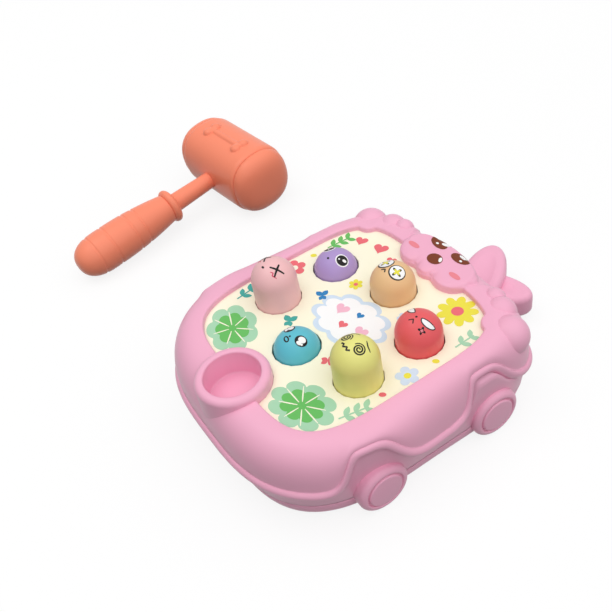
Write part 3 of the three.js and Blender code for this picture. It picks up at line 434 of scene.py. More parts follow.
# Upper case, ring by ring: opening, round lip, shoulder, bead, skirt down to the seam; then the head is raised on it
def makeUpperCase():
    angle = spin(case["stations"])
    inner, outer, brow, trim = rimEdge(angle), caseReach(angle), browReach(angle), trimLevel(angle)
    lip, bead, half, rim, seam = case["lip"], case["bead"], beadHalf(angle), case["rim"], case["seam"]
    rings = [(inner, case["deck"] - case["sunk"]), (inner, rim - case["lipStart"])]
    rings += [(inner + lip * (1.0 - out), rim - lip * (1.0 - up)) for out, up in quarter(7)[1:]]
    for out, up in quarter(64)[1:]:
        reach = inner + lip + (brow - inner - lip) * up ** (2.0 / shoulderPower(angle))
        rings.append((reach, shoulderHeight(reach, angle)))
    for turn in np.linspace(*case["beadTurns"], 18):
        rings.append((brow + case["beadOut"] + bead * math.cos(turn), trim + half * math.sin(turn)))
    skirt = outer + case["skirtSwell"] * swell(angle) * (1.0 - archShares(angle)[0]) - case["skirt"]
    seamReach, low, start = outer - case["seamIn"], seam + case["seamStep"], trim - half * case["beadUnder"]
    for share in np.linspace(0.0, 1.0, 8):
        rings.append((skirt + (seamReach - skirt) * share, start + (low - start) * share))
    rings += [(seamReach - inset, seam + case["seamGap"]) for inset in (case["seamStep"], case["ledge"])]
    grid = ringsToGrid(angle, rings)
    risen = headHeight(grid[..., 0], grid[..., 1], grid[..., 2])
    upper = np.clip((grid[..., 2] - (rim - head["foot"])) / head["blend"], 0.0, 1.0)
    upper[:2] = 0.0
    grid[..., 2] += (risen - grid[..., 2]) * upper
    wall = (cup["outer"] + cup["bore"]) / 2.0

    def keep(p):
        return (p[..., 2] < cup["cutFrom"]) | (np.hypot(p[..., 0], p[..., 1] - cup["y"]) > wall)

    piece = shell("caseUpper", [grid], "case", "case", keep=keep, centre=(0.0, 0.0, 30.0))
    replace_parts(piece, "upper_case")


# The cloud's lobes at the front corners: balls sunk in the shoulder
def makeLobes():
    turn = np.linspace(-np.pi / 2.0, np.pi / 2.0, 41)
    balls = []
    for x, y, z, radius in head["lobes"]:
        for side in (-1.0, 1.0):
            arc = np.stack([radius * np.cos(turn), z + radius * np.sin(turn)], axis=-1)
            balls.append(lathe(arc, side * x, y, 80))
    shell("cloudLobes", balls, "case", "case", centre=(0.0, 75.0, 55.0))


cup = {
    "y": -83.3, "outer": 23.8, "bore": 17.8, "lip": 69.5, "floor": 51.0, "foot": 24.0, "round": 1.5,
    "lipOut": 3.8, "lipDown": 3.6, "lipIn": 1.3, "cutFrom": 40.0,
}


# The hammer's cup: a straight wall, a lip with a wide round outside and a tight one inside, and a bore
def makeCup():
    profile = [(cup["outer"], cup["foot"])]
    for out, up in quarter(14):
        profile.append((cup["outer"] - cup["lipOut"] * (1.0 - out), cup["lip"] - cup["lipDown"] * (1.0 - up)))
    for out, up in reversed(quarter(8)):
        profile.append((cup["bore"] + cup["lipIn"] * (1.0 - out), cup["lip"] - cup["lipIn"] * (1.0 - up)))
    for out, up in quarter(7):
        profile.append((cup["bore"] - cup["round"] * (1.0 - out), cup["floor"] + cup["round"] * (1.0 - up)))
    profile.append((0.0, cup["floor"]))
    shell("hammerCup", [lathe(profile, 0.0, cup["y"], 128)], "case", "case", centre=(0.0, cup["y"], 40.0))


# Lower case's wall, 0.02 mm outside the solid's: a ledge under the seam, a straight wall and a rounded foot
def makeLowerCase():
    angle = spin(case["stations"])
    outer, proud, step, bend = caseReach(angle), case["proud"], case["seamStep"], case["baseRound"]
    seam, seamReach, baseReach = case["seam"] - case["seamGap"], outer - case["seamIn"], outer - case["baseIn"]
    rings = [(seamReach - case["ledge"], seam), (seamReach - step, seam)]
    rings += [(seamReach + proud, seam - step), (baseReach + proud, bend)]
    rings += [(baseReach - bend * (1.0 - out) + proud, bend * (1.0 - up) - proud) for out, up in quarter(7)[1:]]
    shell("caseLowerWall", [ringsToGrid(angle, rings)], "case", "case", centre=(0.0, 0.0, 12.0))


wheel = {
    "radius": 17.6, "hub": 12.04, "height": 13.7, "places": (-42.0, 46.0), "face": 93.4, "back": 80.0,
    "groove": 2.1, "tyreRound": 3.8, "tyreIn": 0.6, "hubRound": 1.2, "hubRise": 0.1,
    "grooveWall": ((1.45, 0.2), (1.15, 0.8)), "grooveFloor": (0.85, 0.1),
}


# Wheels: a fat rounded tyre, a groove, and a raised hub, a profile turned about the axle
def makeWheels():
    w = wheel
    radius, tyre, hub, hubRound = w["radius"], w["tyreRound"], w["hub"], w["hubRound"]
    crown, deep, face = w["face"] - w["tyreIn"], w["face"] - w["groove"], w["face"]
    profile = [(radius, w["back"])]
    profile += [(radius - tyre * (1.0 - out), crown - tyre * (1.0 - up)) for out, up in quarter(9)]
    profile += [(hub + out, crown - down) for out, down in w["grooveWall"]]
    profile += [(hub + out, deep) for out in w["grooveFloor"]]
    profile += [(hub - hubRound * (1.0 - out), face - hubRound * (1.0 - up)) for out, up in quarter(7)]
    profile.append((0.0, face + w["hubRise"]))
    disc = lathe(profile)
    for side, sideName in ((-1.0, "Left"), (1.0, "Right")):
        for y, end in zip(w["places"], ("Rear", "Front")):
            grid = np.stack([side * disc[..., 2], y + disc[..., 0], w["height"] + disc[..., 1]], axis=-1)
            shell("wheel" + end + sideName, [grid], "case", "case", centre=tuple(grid[0].mean(axis=0)))


ear = {
    "halfWidth": 16.0, "halfLength": 36.0, "low": 1.2, "edge": 5.0, "dish": 1.8, "dishShare": 0.78,
    "left": (-2.6, 115.2, 0.55, 26.8), "right": (0.2, 115.2, -1.03, 20.2),
}


# Ears: ovals with rounded edges and a shallow dish, dish (1 - s^2) deep; the left one lies over the right one
def makeEars():
    halfWidth, halfLength, edge = ear["halfWidth"], ear["halfLength"], ear["edge"]
    turn = spin(128)
    for name in ("left", "right"):
        x, y, heading, top = ear[name]
        rows = [(ear["low"] + edge * (1.0 - up), edge * (1.0 - out)) for up, out in quarter(8)]
        rows += [(top - edge * (1.0 - up), edge * (1.0 - out)) for out, up in quarter(12)]
        rings = [(halfWidth - inset, halfLength - inset, height) for height, inset in rows]
        for share in np.linspace(1.0, 0.0, 24)[1:]:
            sunk = ear["dish"] * max(1.0 - (share / ear["dishShare"]) ** 2, 0.0)
            rings.append(((halfWidth - edge) * share, (halfLength - edge) * share, top - sunk))
        grid = np.stack([turned(a * np.cos(turn), b * np.sin(turn), heading, x, y, z) for a, b, z in rings])
        shell("ear_" + name, [grid], "case", "case", centre=(x, y, 12.0))


mole = {"shoulder": 15.0, "skirt": 15.35, "dome": 14.2, "raised": 17.5, "travel": 19.5, "skirtLength": 21.0}
# Where each mole is, and how far up it stands: 1 up, 0 down
molePlaces = {
    "pink": (-46.1, -23.2, 1.0), "purple": (-46.1, 23.2, 0.0), "tan": (0.0, 38.0, 0.5),
    "red": (46.1, 23.2, 0.5), "yellow": (46.1, -23.2, 1.0), "teal": (0.0, -38.0, 0.0),
}


# Where a mole's dome begins: its highest place less its share of the travel
def moleTop(name):
    return case["deck"] + mole["raised"] - (1.0 - molePlaces[name][2]) * mole["travel"]


# Moles: a straight skirt under a dome, half an ellipse turned about the upright
def makeMoles():
    for name, (x, y, _) in molePlaces.items():
        top = moleTop(name)
        profile = [(mole["skirt"], top - mole["skirtLength"])]
        profile += [(mole["shoulder"] * out, top + mole["dome"] * up) for out, up in quarter(40)]
        grid = lathe(profile, x, y, 128)
        piece = shell("moleSkin_" + name, [grid], "mole_" + name, name + "_mole", centre=(x, y, top - 5.0))
        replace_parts(piece, "mole_" + name)


makeCup()
makeUpperCase()
makeLobes()
makeLowerCase()
makeWheels()
makeEars()
makeMoles()
print("case made")


hammer = {
    "x": -238.0, "y": -108.0, "z": 11.584, "heading": 0.12, "lean": 0.07715,
    "axis": 162.4, "radius": 28.0, "half": 37.0, "dome": 13.8, "section": 2.35, "groove": 2.0, "grooveSoft": 5.0,
    "fullness": 0.62, "groovePower": 2.2, "neck": ((-0.1, -0.6), (0.25, -0.3)), "domeFrom": 0.8, "domeOut": 0.6,
    "steps": 240, "turns": 300,
}
bone = {"half": 20.0, "rod": 2.9, "knob": 4.7, "apart": 4.0, "rise": 0.72, "soft": 0.35}
spot = {
    "half": 10.6, "across": 7.2, "spacing": 16.0, "seat": 0.55, "depth": 1.1, "seatWall": 12.0,
    "sunk": 0.2, "proud": 0.25, "edge": 0.35, "edgeShare": 0.06,
}


# From the hammer's own frame, local Y along its handle, to where it lies on the floor
def layHammer(points):
    x, y, z = points[..., 0], points[..., 1], points[..., 2]
    c, s = math.cos(hammer["lean"]), math.sin(hammer["lean"])
    y, z = y * c - z * s, y * s + z * c
    c, s = math.cos(hammer["heading"]), math.sin(hammer["heading"])
    return np.stack([hammer["x"] + x * c - y * s, hammer["y"] + x * s + y * c, hammer["z"] + z], axis=-1)


# Section of the head: a circle filled out towards a square, (|cos|^n + |sin|^n)^(-1/n)
def headSection(turn):
    n = hammer["section"]
    return (np.abs(np.cos(turn)) ** n + np.abs(np.sin(turn)) ** n) ** (-1.0 / n)


# Places round the head: along it, at a turn from the far side, and at a share of its radius plus a rise
def headPlaces(along, turn, radius, rise=0.0):
    reach = radius * headSection(turn) + rise
    flat = np.stack([along + 0.0 * reach, hammer["axis"] + reach * np.cos(turn), reach * np.sin(turn)], axis=-1)
    return layHammer(flat)


# Height of the bone over the barrel: half rounds sqrt(r^2 - d^2) along the rod and over its four knobs
def boneRise(along, across):
    d = np.hypot(np.maximum(np.abs(along) - bone["half"], 0.0), across)
    rise = np.sqrt(np.maximum(bone["rod"] ** 2 - d ** 2, 0.0)) * bone["rise"]
    for side in (-1.0, 1.0):
        d = np.hypot(np.abs(along) - bone["half"], across - side * bone["apart"])
        rise = smoothMax(rise, np.sqrt(np.maximum(bone["knob"] ** 2 - d ** 2, 0.0)) * bone["rise"], bone["soft"])
    return rise - bone["soft"]


# Barrel: its radius falls to a groove at each end by g (1 - sqrt(1 - s^n)), with the bone raised and two oval seats
def makeBarrel():
    turn = spin(hammer["turns"])
    along = np.linspace(-hammer["half"], hammer["half"], hammer["steps"])[:, None]
    ends = np.clip((np.abs(along) - hammer["half"] + hammer["grooveSoft"]) / hammer["grooveSoft"], 0.0, 1.0)
    radius = hammer["radius"] - hammer["groove"] * (1.0 - np.sqrt(1.0 - ends ** hammer["groovePower"]))
    rise = np.maximum(boneRise(along, hammer["radius"] * (turn - np.pi / 2.0)), 0.0)
    around = hammer["radius"] * np.where(turn > np.pi, turn - 2.0 * np.pi, turn)
    seat = spot["half"] + spot["seat"], spot["across"] + spot["seat"]
    for side in (-1.0, 1.0):
        d = np.hypot((along - side * spot["spacing"]) / seat[0], around / seat[1])
        rise = rise - spot["depth"] * np.clip((1.0 - d) * spot["seatWall"], 0.0, 1.0)
    return headPlaces(along, turn, radius, rise)


# End cap: a short neck, then a dome whose radius falls by cos^f over a height that grows by sin
def makeEnd(side):
    neck, half = hammer["radius"] - hammer["groove"], hammer["half"]
    start, widest = hammer["domeFrom"], neck + hammer["domeOut"]
    rows = [(half + along, neck + out) for along, out in hammer["neck"]]
    for out, up in quarter(36):
        rows.append((half + start + (hammer["dome"] - start) * up, widest * out ** hammer["fullness"]))
    shares = np.array(rows)
    return headPlaces(side * shares[:, :1], spin(hammer["turns"]), shares[:, 1:])


# Oval inlay: a wall, a rounded edge and a face that follows the barrel
def makeSpot(side):
    ring, proud, edge, inset = spin(72), spot["proud"], spot["edge"], spot["edgeShare"]
    steps = [(1.0, -spot["depth"] - spot["sunk"]), (1.0, proud - edge)]
    steps += [(1.0 - inset * (1.0 - out), proud - edge * (1.0 - up)) for out, up in quarter(5)]
    steps += [(share, proud) for share in np.linspace(1.0 - inset, 0.0, 14)[1:]]
    place, lift = np.array(steps)[:, :1], np.array(steps)[:, 1:]
    along = side * spot["spacing"] + spot["half"] * place * np.cos(ring)
    return headPlaces(along, spot["across"] * place * np.sin(ring) / hammer["radius"], hammer["radius"], lift)


# The head's five pieces, each in place of its solid
def makeHammerHead():
    def lay(name, grid, paint, node, along=0.0):
        centre = tuple(layHammer(np.array([along, hammer["axis"], 0.0])))
        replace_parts(shell(name, [grid], paint, "hammer", centre=centre), node)

    lay("hammerBarrel", makeBarrel(), "hammer", "hammer_head")
    for side, name in ((-1.0, "Left"), (1.0, "Right")):
        lay("hammerEnd" + name, makeEnd(side), "hammer", "hammer_end_" + name.lower(), side * hammer["half"])
        lay("hammerSpot" + name, makeSpot(side), "spot", "hammer_spot_" + name.lower())


handle = {
    "length": 89.0, "radius": 17.2, "dome": 0.3, "domePower": 2.6, "domeRoot": 2.4,
    "widest": 0.4, "taper": 0.29, "taperPower": 1.9,
    "grooves": (0.19, 0.355, 0.585, 0.69), "grooveDepth": 0.55, "grooveWidth": 0.011,
    "collarRadius": 14.6, "collar": 7.4, "collarTurn": 1.45, "collarFoot": (-1.0, 0.2),
    "collarTop": ((1.2, -0.2), (0.3, 0.7)), "shaft": (8.0, 7.0), "shaftFrom": 1.6, "shaftLength": 40.0,
}


# Grip: a dome (1 - (1 - t)^p)^(1/q) below, a taper 1 - k t^n above, and thin grooves round it
def gripRadius(t):
    g = handle
    low = np.clip(1.0 - t / g["dome"], 0.0, 1.0)
    high = np.clip((t - g["widest"]) / (1.0 - g["widest"]), 0.0, 1.0)
    domed = (1.0 - low ** g["domePower"]) ** (1.0 / g["domeRoot"])
    radius = g["radius"] * domed * (1.0 - g["taper"] * high ** g["taperPower"])
    for place in g["grooves"]:
        radius = radius - g["grooveDepth"] * np.exp(-((t - place) / g["grooveWidth"]) ** 4)
    return radius


# Grip and shaft: profiles turned about the handle's line; the collar is the outer side of a ring on the shaft
def makeHandle():
    length, collar, (shaft, tip) = handle["length"], handle["collar"], handle["shaft"]
    t = np.concatenate([np.linspace(0.0, 0.12, 30), np.linspace(0.12, 1.0, 320)[1:]])
    grip = np.concatenate([np.stack([gripRadius(t), t * length], axis=-1), [[shaft, length]]])
    half, middle, top = collar / 2.0, length + collar / 2.0, length + collar
    out, up = handle["collarFoot"]
    ring = [(shaft + out, length + up)]
    for turn in np.linspace(-handle["collarTurn"], handle["collarTurn"], 24):
        reach = handle["collarRadius"] - half * (1.0 - math.cos(turn))
        ring.append((reach, middle + (half - 0.1) * math.sin(turn)))
    ring += [(shaft + out, top + up) for out, up in handle["collarTop"]]
    for share in np.linspace(0.0, 1.0, 9):
        ring.append((shaft + (tip - shaft) * share, top + handle["shaftFrom"] + handle["shaftLength"] * share))
    for name, profile, node in (("hammerGripSkin", grip, "hammer_grip"), ("hammerShaftSkin", ring, "hammer_shaft")):
        upright = lathe(profile)
        points = layHammer(np.stack([upright[..., 0], upright[..., 2], -upright[..., 1]], axis=-1))
        centre = layHammer(np.array([0.0, np.mean([p[1] for p in profile]), 0.0]))
        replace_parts(shell(name, [points], "hammer", "hammer", centre=tuple(centre)), node)


makeHammerHead()
makeHandle()
print("hammer made")


# Prints are flat shapes in millimetres, gathered by ink and laid just above their surface.
# Ribbon: half its width to either side of a line, thinner towards the ends by pinch s^2
def ribbon(line, width, closed=False, pinch=0.0):
    line = np.asarray(line, float)
    if closed:
        slope = np.roll(line, -1, axis=0) - np.roll(line, 1, axis=0)
        line, slope = np.concatenate([line, line[:1]]), np.concatenate([slope, slope[:1]])
    else:
        slope = np.gradient(line, axis=0)
    side = np.stack([-slope[:, 1], slope[:, 0]], axis=-1)
    side = side / np.maximum(np.linalg.norm(slope, axis=-1, keepdims=True), 1e-9)
    share = np.linspace(-1.0, 1.0, len(line))[:, None]
    half = width / 2.0 * (1.0 - pinch * share ** 2)
    return np.stack([line + side * half * k for k in (-1.0, -0.33, 0.33, 1.0)])


# Line through the given corners, resampled at even steps
def trace(*corners, step=0.35):
    corners = np.asarray(corners, float)
    length = np.concatenate([[0.0], np.cumsum(np.linalg.norm(np.diff(corners, axis=0), axis=-1))])
    places = np.linspace(0.0, length[-1], max(int(length[-1] / step), 3))
    return np.stack([np.interp(places, length, corners[:, i]) for i in (0, 1)], axis=-1)


# Filled outline: rings shrinking to its middle
def fill(outline, rings=7):
    outline = np.concatenate([outline, outline[:1]])
    middle = outline[:-1].mean(axis=0)
    return np.stack([middle + (outline - middle) * share for share in np.linspace(0.0, 1.0, rings)])


# Oval turned by an angle; with points it is a flower or star, r = 1 - depth (1 - |cos(n t / 2)|^p)
def oval(x, y, a, b=None, turn=0.0, points=0, depth=0.0, power=1.0, count=96):
    t = spin(count)
    r = 1.0 - depth * (1.0 - np.abs(np.cos(points * t / 2.0)) ** power)
    u, v = a * r * np.cos(t), (a if b is None else b) * r * np.sin(t)
    return turned(u, v, turn, x, y)


# Leaf: two arcs y = +-w (1 - s^2), from its foot at (x, y) towards the turn
def leaf(x, y, length, width, turn):
    s = np.linspace(-1.0, 1.0, 33)
    u = np.concatenate([s, s[-2:0:-1]]) * length / 2.0 + length / 2.0
    v = np.concatenate([1.0 - s ** 2, -(1.0 - s[-2:0:-1] ** 2)]) * width / 2.0
    return turned(u, v, turn, x, y)


# Heart: x = sin^3 t, y = (13 cos t - 5 cos 2t - 2 cos 3t - cos 4t) / 16
def heart(x, y, size, turn=0.0):
    t = spin(72)
    u = size * np.sin(t) ** 3
    v = size * (13.0 * np.cos(t) - 5.0 * np.cos(2.0 * t) - 2.0 * np.cos(3.0 * t) - np.cos(4.0 * t)) / 16.0
    return turned(u, v, turn, x, y)


# Spiral r = r0 + (r1 - r0) t, wound the given number of times
def spiral(x, y, start, end, winds, turn=0.0):
    t = np.linspace(0.0, 1.0, int(40 * winds))
    r = start + (end - start) * t
    a = turn + 2.0 * np.pi * winds * t
    return np.stack([x + r * np.cos(a), y + r * np.sin(a)], axis=-1)


lifts = {"first": 0.05, "step": 0.035}


# One piece for each ink in a drawing of (ink, layer, grid)
def layPrints(name, drawing, place, body, centre):
    for tint in dict.fromkeys(ink for ink, _, _ in drawing):
        grids = [place(grid, lifts["first"] + lifts["step"] * layer) for ink, layer, grid in drawing if ink == tint]
        shell(name + "_" + tint, grids, tint, body, closed=False, centre=centre)


# One shape of a face, or the same shape on both of its sides
def single(ink, layer, grid):
    return [(ink, layer, grid)]


def paired(ink, layer, grid):
    return [(ink, layer, grid), (ink, layer, grid * np.array([-1.0, 1.0]))]


# The moles' faces are drawn round the middle of the dome with the chin towards -Y.
# Pink: crossed-out eyes, scribbled cheeks and a small mouth
def pinkFace():
    return (
        paired("black", 1, ribbon(trace((3.5, -2.6), (12.2, 3.5)), 1.4, pinch=0.25))
        + paired("black", 2, ribbon(trace((5.0, 3.7), (11.0, -3.9)), 1.4, pinch=0.25))
        + paired("crimson", 0, ribbon(trace((6.6, -4.3), (8.4, -3.1), (9.4, -4.8), (12.6, -3.2)), 0.8, pinch=0.3))
        + single("black", 0, fill(oval(0.0, -5.8, 1.3, 0.75)))
    )


# Purple: round eyes with two glints and a small mouth
def purpleFace():
    return (
        paired("white", 0, fill(oval(8.5, 1.4, 4.95, 4.8)))
        + paired("black", 1, fill(oval(8.5, 1.4, 4.1)))
        + paired("white", 2, fill(oval(9.6, 2.5, 1.5, 1.1, 0.6)))
        + paired("white", 2, fill(oval(6.6, 0.0, 0.6)))
        + single("black", 0, fill(oval(1.0, -5.4, 1.0, 0.8)))
    )


# Tan: ringed eyes with a star in each and a bent mouth
def tanFace():
    return (
        paired("black", 0, fill(oval(6.3, 0.3, 5.9)))
        + paired("white", 1, fill(oval(6.3, 0.5, 5.1)))
        + paired("black", 2, fill(oval(6.2, 0.1, 3.9, points=4, depth=0.72, power=2.5)))
        + paired("yellow", 3, fill(oval(6.2, 0.1, 2.6, points=4, depth=0.55, power=2.0)))
        + single("black", 0, ribbon(trace((-3.0, -6.0), (-0.7, -4.2), (0.9, -6.0)), 0.95))
    )


# Teal: wet eyes with three glints, an open mouth and a nose
def tealFace():
    return (
        paired("black", 0, fill(oval(7.2, 0.8, 4.2, 3.9, 0.5)))
        + paired("white", 1, fill(oval(6.9, 1.7, 2.5, 2.2, 0.5)))
        + paired("white", 1, fill(oval(7.6, -1.3, 1.7, 1.2, 0.3)))
        + paired("white", 1, fill(oval(9.4, -0.3, 0.8)))
        + single("black", 0, ribbon(oval(0.0, -5.8, 2.1, 1.3, -0.2), 0.95, closed=True))
        + single("black", 0, fill(oval(0.1, -3.0, 0.7)))
    )


# Yellow: spirals for eyes, brows and a wavering mouth
def yellowFace():
    mouth = trace((-4.8, -5.0), (-2.6, -4.4), (-1.7, -6.1), (0.9, -4.6), (1.9, -6.3), (3.8, -4.7))
    return (
        paired("black", 0, ribbon(spiral(6.5, -0.1, 0.5, 4.1, 2.4, 0.6), 1.0, pinch=0.3))
        + paired("black", 0, ribbon(trace((3.2, 7.9), (7.2, 6.0), (11.2, 5.4)), 0.95, pinch=0.5))
        + single("black", 0, ribbon(mouth, 1.1))
    )


# Red: half-closed eyes, a bent mouth, a nose and a small star on one cheek
def redFace():
    t = spin(64)
    moon = turned(5.2 * np.cos(t), np.where(t < np.pi, 0.9, 3.5) * np.sin(t), 0.4, 8.2, 2.6)
    return (
        paired("white", 1, fill(moon))
        + paired("black", 2, ribbon(moon, 0.7, closed=True))
        + single("black", 0, ribbon(trace((-1.5, -5.9), (0.5, -3.5), (2.6, -5.7)), 0.75))
        + single("black", 0, fill(oval(0.4, -1.1, 0.75)))
        + single("black", 0, fill(oval(9.8, -4.4, 2.8, points=4, depth=0.62, power=2.0, turn=0.5)))
        + single("blush", 1, fill(oval(9.8, -4.4, 1.1, points=4, depth=0.4, power=2.0, turn=0.5)))
    )


faces = {
    "pink": pinkFace, "purple": purpleFace, "tan": tanFace,
    "teal": tealFace, "yellow": yellowFace, "red": redFace,
}


# From distances over the dome to its surface: the turn from its top is the distance over its radius
def makeFaces():
    for name, (x, y, _) in molePlaces.items():
        top = moleTop(name)

        def place(grid, lift):
            flat = np.maximum(np.hypot(grid[..., 0], grid[..., 1]), 1e-9)
            turn = flat / mole["shoulder"]
            out = (mole["shoulder"] + lift) * np.sin(turn) / flat
            height = top + (mole["dome"] + lift) * np.cos(turn)
            return np.stack([x + grid[..., 0] * out, y + grid[..., 1] * out, height], axis=-1)

        layPrints("face_" + name, faces[name](), place, name + "_mole", (x, y, top - 10.0))


# Features of the head: x, y, half width, half height and turn
rabbit = {
    "eye": (11.0, 86.0, 7.7, 4.4, 0.12), "cheek": (21.3, 72.2, 5.0, 2.1, 0.05), "nose": (-0.4, 73.3, 5.9, 4.9, 0.0),
    "glints": (
        (11.3, 88.1, 3.4, 1.5, -0.05), (13.0, 84.3, 1.15, 0.8, 0.0), (-6.6, 88.3, 3.3, 1.7, 0.45),
        (-11.6, 84.7, 1.2, 0.85, 0.0), (3.0, 75.3, 2.3, 1.2, -0.9),
    ),
    "lift": 0.08,
}


# The head's features, laid on its flat top
def makeRabbit():
    drawing = []
    for side in (-1.0, 1.0):
        x, y, a, b, turn = rabbit["eye"]
        drawing.append(("brown", 0, fill(oval(side * x, y, a, b, side * turn))))
        x, y, a, b, turn = rabbit["cheek"]
        drawing.append(("blush", 0, fill(oval(side * x, y, a, b, turn))))
    drawing.append(("brown", 0, fill(oval(*rabbit["nose"]))))
    drawing += [("white", 1, fill(oval(*glint))) for glint in rabbit["glints"]]

    def place(grid, lift):
        x, y = grid[..., 0], grid[..., 1]
        base = shoulderHeight(np.hypot(x, y), np.arctan2(y, x))
        return np.stack([x, y, headHeight(x, y, base) + lift + rabbit["lift"]], axis=-1)

    layPrints("rabbit", drawing, place, "case", (0.0, 80.0, 40.0))


makeFaces()
makeRabbit()
print("faces printed")


# The board's picture; each row begins with x and y
board = {
    "cloud": (3.0, 1.0, (30.0, 21.0), (26.0, 17.5), 0.2, 9, 0.2), "cloudTurn": 0.25, "heartTurn": 0.5,
    "cloudHearts": (
        (-9.0, 3.0, 5.0, "rose"), (16.0, 0.0, 4.8, "rose"), (3.0, -5.0, 3.4, "coral"), (4.0, 8.0, 2.8, "blue"),
    ),
    "rosettes": ((42.0, -61.0, 23.0, 17.0, 0.3, 8), (-42.0, -61.0, 22.0, 17.0, -0.3, 7)),
    "sprigs": (
        (64.0, -50.0, 19.0, 1.35, "paleGreen", 3, 7.5), (-64.0, -45.0, 20.0, 1.7, "teal", 3, 7.0),
        (-66.0, 30.0, 18.0, 1.5, "green", 3, 7.0), (65.0, 36.0, 15.0, 1.6, "paleGreen", 2, 7.0),
    ),
    "flowers": (
        (-64.0, 1.0, 8.0, "coral", "cream", 0.2, 5), (64.0, 0.0, 7.6, "sky", "yellow", 0.3, 5),
        (42.0, 57.0, 13.5, "yellow", "coral", 0.1, 9), (24.0, 28.0, 4.6, "sky", "cream", 0.4, 5),
        (-22.0, 23.0, 5.0, "yellow", "coral", 0.4, 6),
    ),
    "hearts": ((-56.0, 52.0, 4.6), (-40.0, 57.0, 5.4), (-25.0, 55.0, 3.6)),
    "butterflies": (
        (-22.5, -29.5, 6.6, 2.3, "teal"), (22.5, -29.5, 6.6, 0.9, "coral"), (-28.0, 0.0, 6.0, 2.6, "blue"),
    ),
    "dots": (
        (66.0, -20.0, "coral"), (-66.0, -20.0, "blue"), (-66.0, 18.0, "yellow"), (66.0, 20.0, "yellow"),
        (33.0, -2.0, "blue"),
    ),
    "dot": (2.3, 1.7, 0.8),
    "holeEdge": 16.15, "past": 0.3,
}


# Outline with shallow rounded petals
def scalloped(x, y, a, b, turn, points, depth=0.22):
    return fill(oval(x, y, a, b, turn, points=points, depth=depth, power=0.6))


# Flower: petals and a round middle
def flower(x, y, size, ink, middleInk, turn, points, depth=0.42, middle=0.3):
    petals = scalloped(x, y, size, size, turn, points, depth)
    return [(ink, 2, petals), (middleInk, 3, fill(oval(x, y, size * middle)))]


# Sprig: a straight stalk with pairs of leaves
def sprig(x, y, length, turn, ink, pairs, size, start=0.6, spread=0.85, slim=0.5):
    c, s = math.cos(turn), math.sin(turn)
    shapes = [(ink, 3, ribbon(trace((x, y), (x + length * c, y + length * s)), 1.1))]
    for i in range(pairs):
        along = length * (i + start) / pairs
        for side, layer in ((-1.0, 1), (1.0, 2)):
            one = leaf(x + along * c, y + along * s, size, size * slim, turn + side * spread)
            shapes.append((ink, layer, fill(one)))
    return shapes


# Rosette: two scalloped layers of green and a pale vein in each petal
def rosette(x, y, a, b, turn, points, inner=0.66, veinStart=0.14, veinEnd=0.74):
    shapes = [("paleGreen", 0, scalloped(x, y, a, b, turn, points))]
    shapes.append(("green", 1, scalloped(x, y, a * inner, b * inner, turn, points)))
    for t in spin(points):
        u, v = a * math.cos(t), b * math.sin(t)
        vein = trace((x + veinStart * u, y + veinStart * v), (x + veinEnd * u, y + veinEnd * v))
        shapes.append(("cream", 2, ribbon(vein, 0.9, pinch=0.5)))
    return shapes


# Butterfly: two large wings and two small ones behind, each by its length, width and spread
def butterfly(x, y, size, turn, ink, wings=((1.0, 0.66, 0.7, 0.0), (0.72, 0.5, 0.5, math.pi))):
    shapes = []
    for side, layer in ((-1.0, 1), (1.0, 2)):
        for long, wide, spread, back in wings:
            shapes.append((ink, layer, fill(leaf(x, y, size * long, size * wide, turn + back + side * spread))))
    return shapes


# The picture: a cloud with hearts, then rosettes, sprigs, flowers, more hearts, butterflies and dots
def boardDrawing():
    x, y, outside, inside, turn, points, depth = board["cloud"]
    drawing = [("sky", 0, scalloped(x, y, *outside, turn, points, depth))]
    drawing.append(("white", 1, scalloped(x, y, *inside, turn, points, depth)))
    drawing += [(ink, 2, fill(heart(x, y, size, board["cloudTurn"]))) for x, y, size, ink in board["cloudHearts"]]
    for kind, rows in ((rosette, "rosettes"), (sprig, "sprigs"), (flower, "flowers")):
        for row in board[rows]:
            drawing += kind(*row)
    drawing += [("coral", 2, fill(heart(x, y, size, board["heartTurn"]))) for x, y, size in board["hearts"]]
    for row in board["butterflies"]:
        drawing += butterfly(*row)
    drawing += [(ink, 2, fill(oval(x, y, *board["dot"]))) for x, y, ink in board["dots"]]
    return drawing


# Ink that would fall into a mole's hole is moved out to the hole's edge
def makeBoardPrints():
    def place(grid, lift):
        x, y = grid[..., 0].copy(), grid[..., 1].copy()
        for px, py, _ in molePlaces.values():
            d = np.maximum(np.hypot(x - px, y - py), 1e-6)
            out = np.maximum(board["holeEdge"] / d, 1.0)
            x, y = px + (x - px) * out, py + (y - py) * out
        reach = np.maximum(np.hypot(x, y), 1e-6)
        limit = np.minimum((openReach(np.arctan2(y, x)) + board["past"]) / reach, 1.0)
        return np.stack([x * limit, y * limit, case["deck"] + lift + 0.0 * x], axis=-1)

    layPrints("picture", boardDrawing(), place, "case", (0.0, 0.0, 30.0))


makeBoardPrints()
print("board printed")


studio = {
    "light": (0.32, 0.05, 0.946), "dark": 0.05, "bright": 1.84, "tightness": 2.0,
    "key": (-0.45, -0.35, 1.3), "keyAim": (-0.05, 0.0, 0.04), "keySize": 0.7, "keyPower": 2.4,
    "floor": -0.00395, "floorSize": 4.0, "floorGlow": 0.85, "floorTone": 0.15,
    "floorRoughness": 0.9, "floorSpecular": 0.1,
}


# Rays that see the white background: the camera's own, and those that gloss or glass sends on
def shownTo(tree):
    path = tree.nodes.new("ShaderNodeLightPath").outputs
    rays = [Wire(tree, path[name]) for name in ("Is Camera Ray", "Is Glossy Ray", "Is Transmission Ray")]
    return (rays[0] + rays[1]).math("ADD", rays[2], clamp=True)


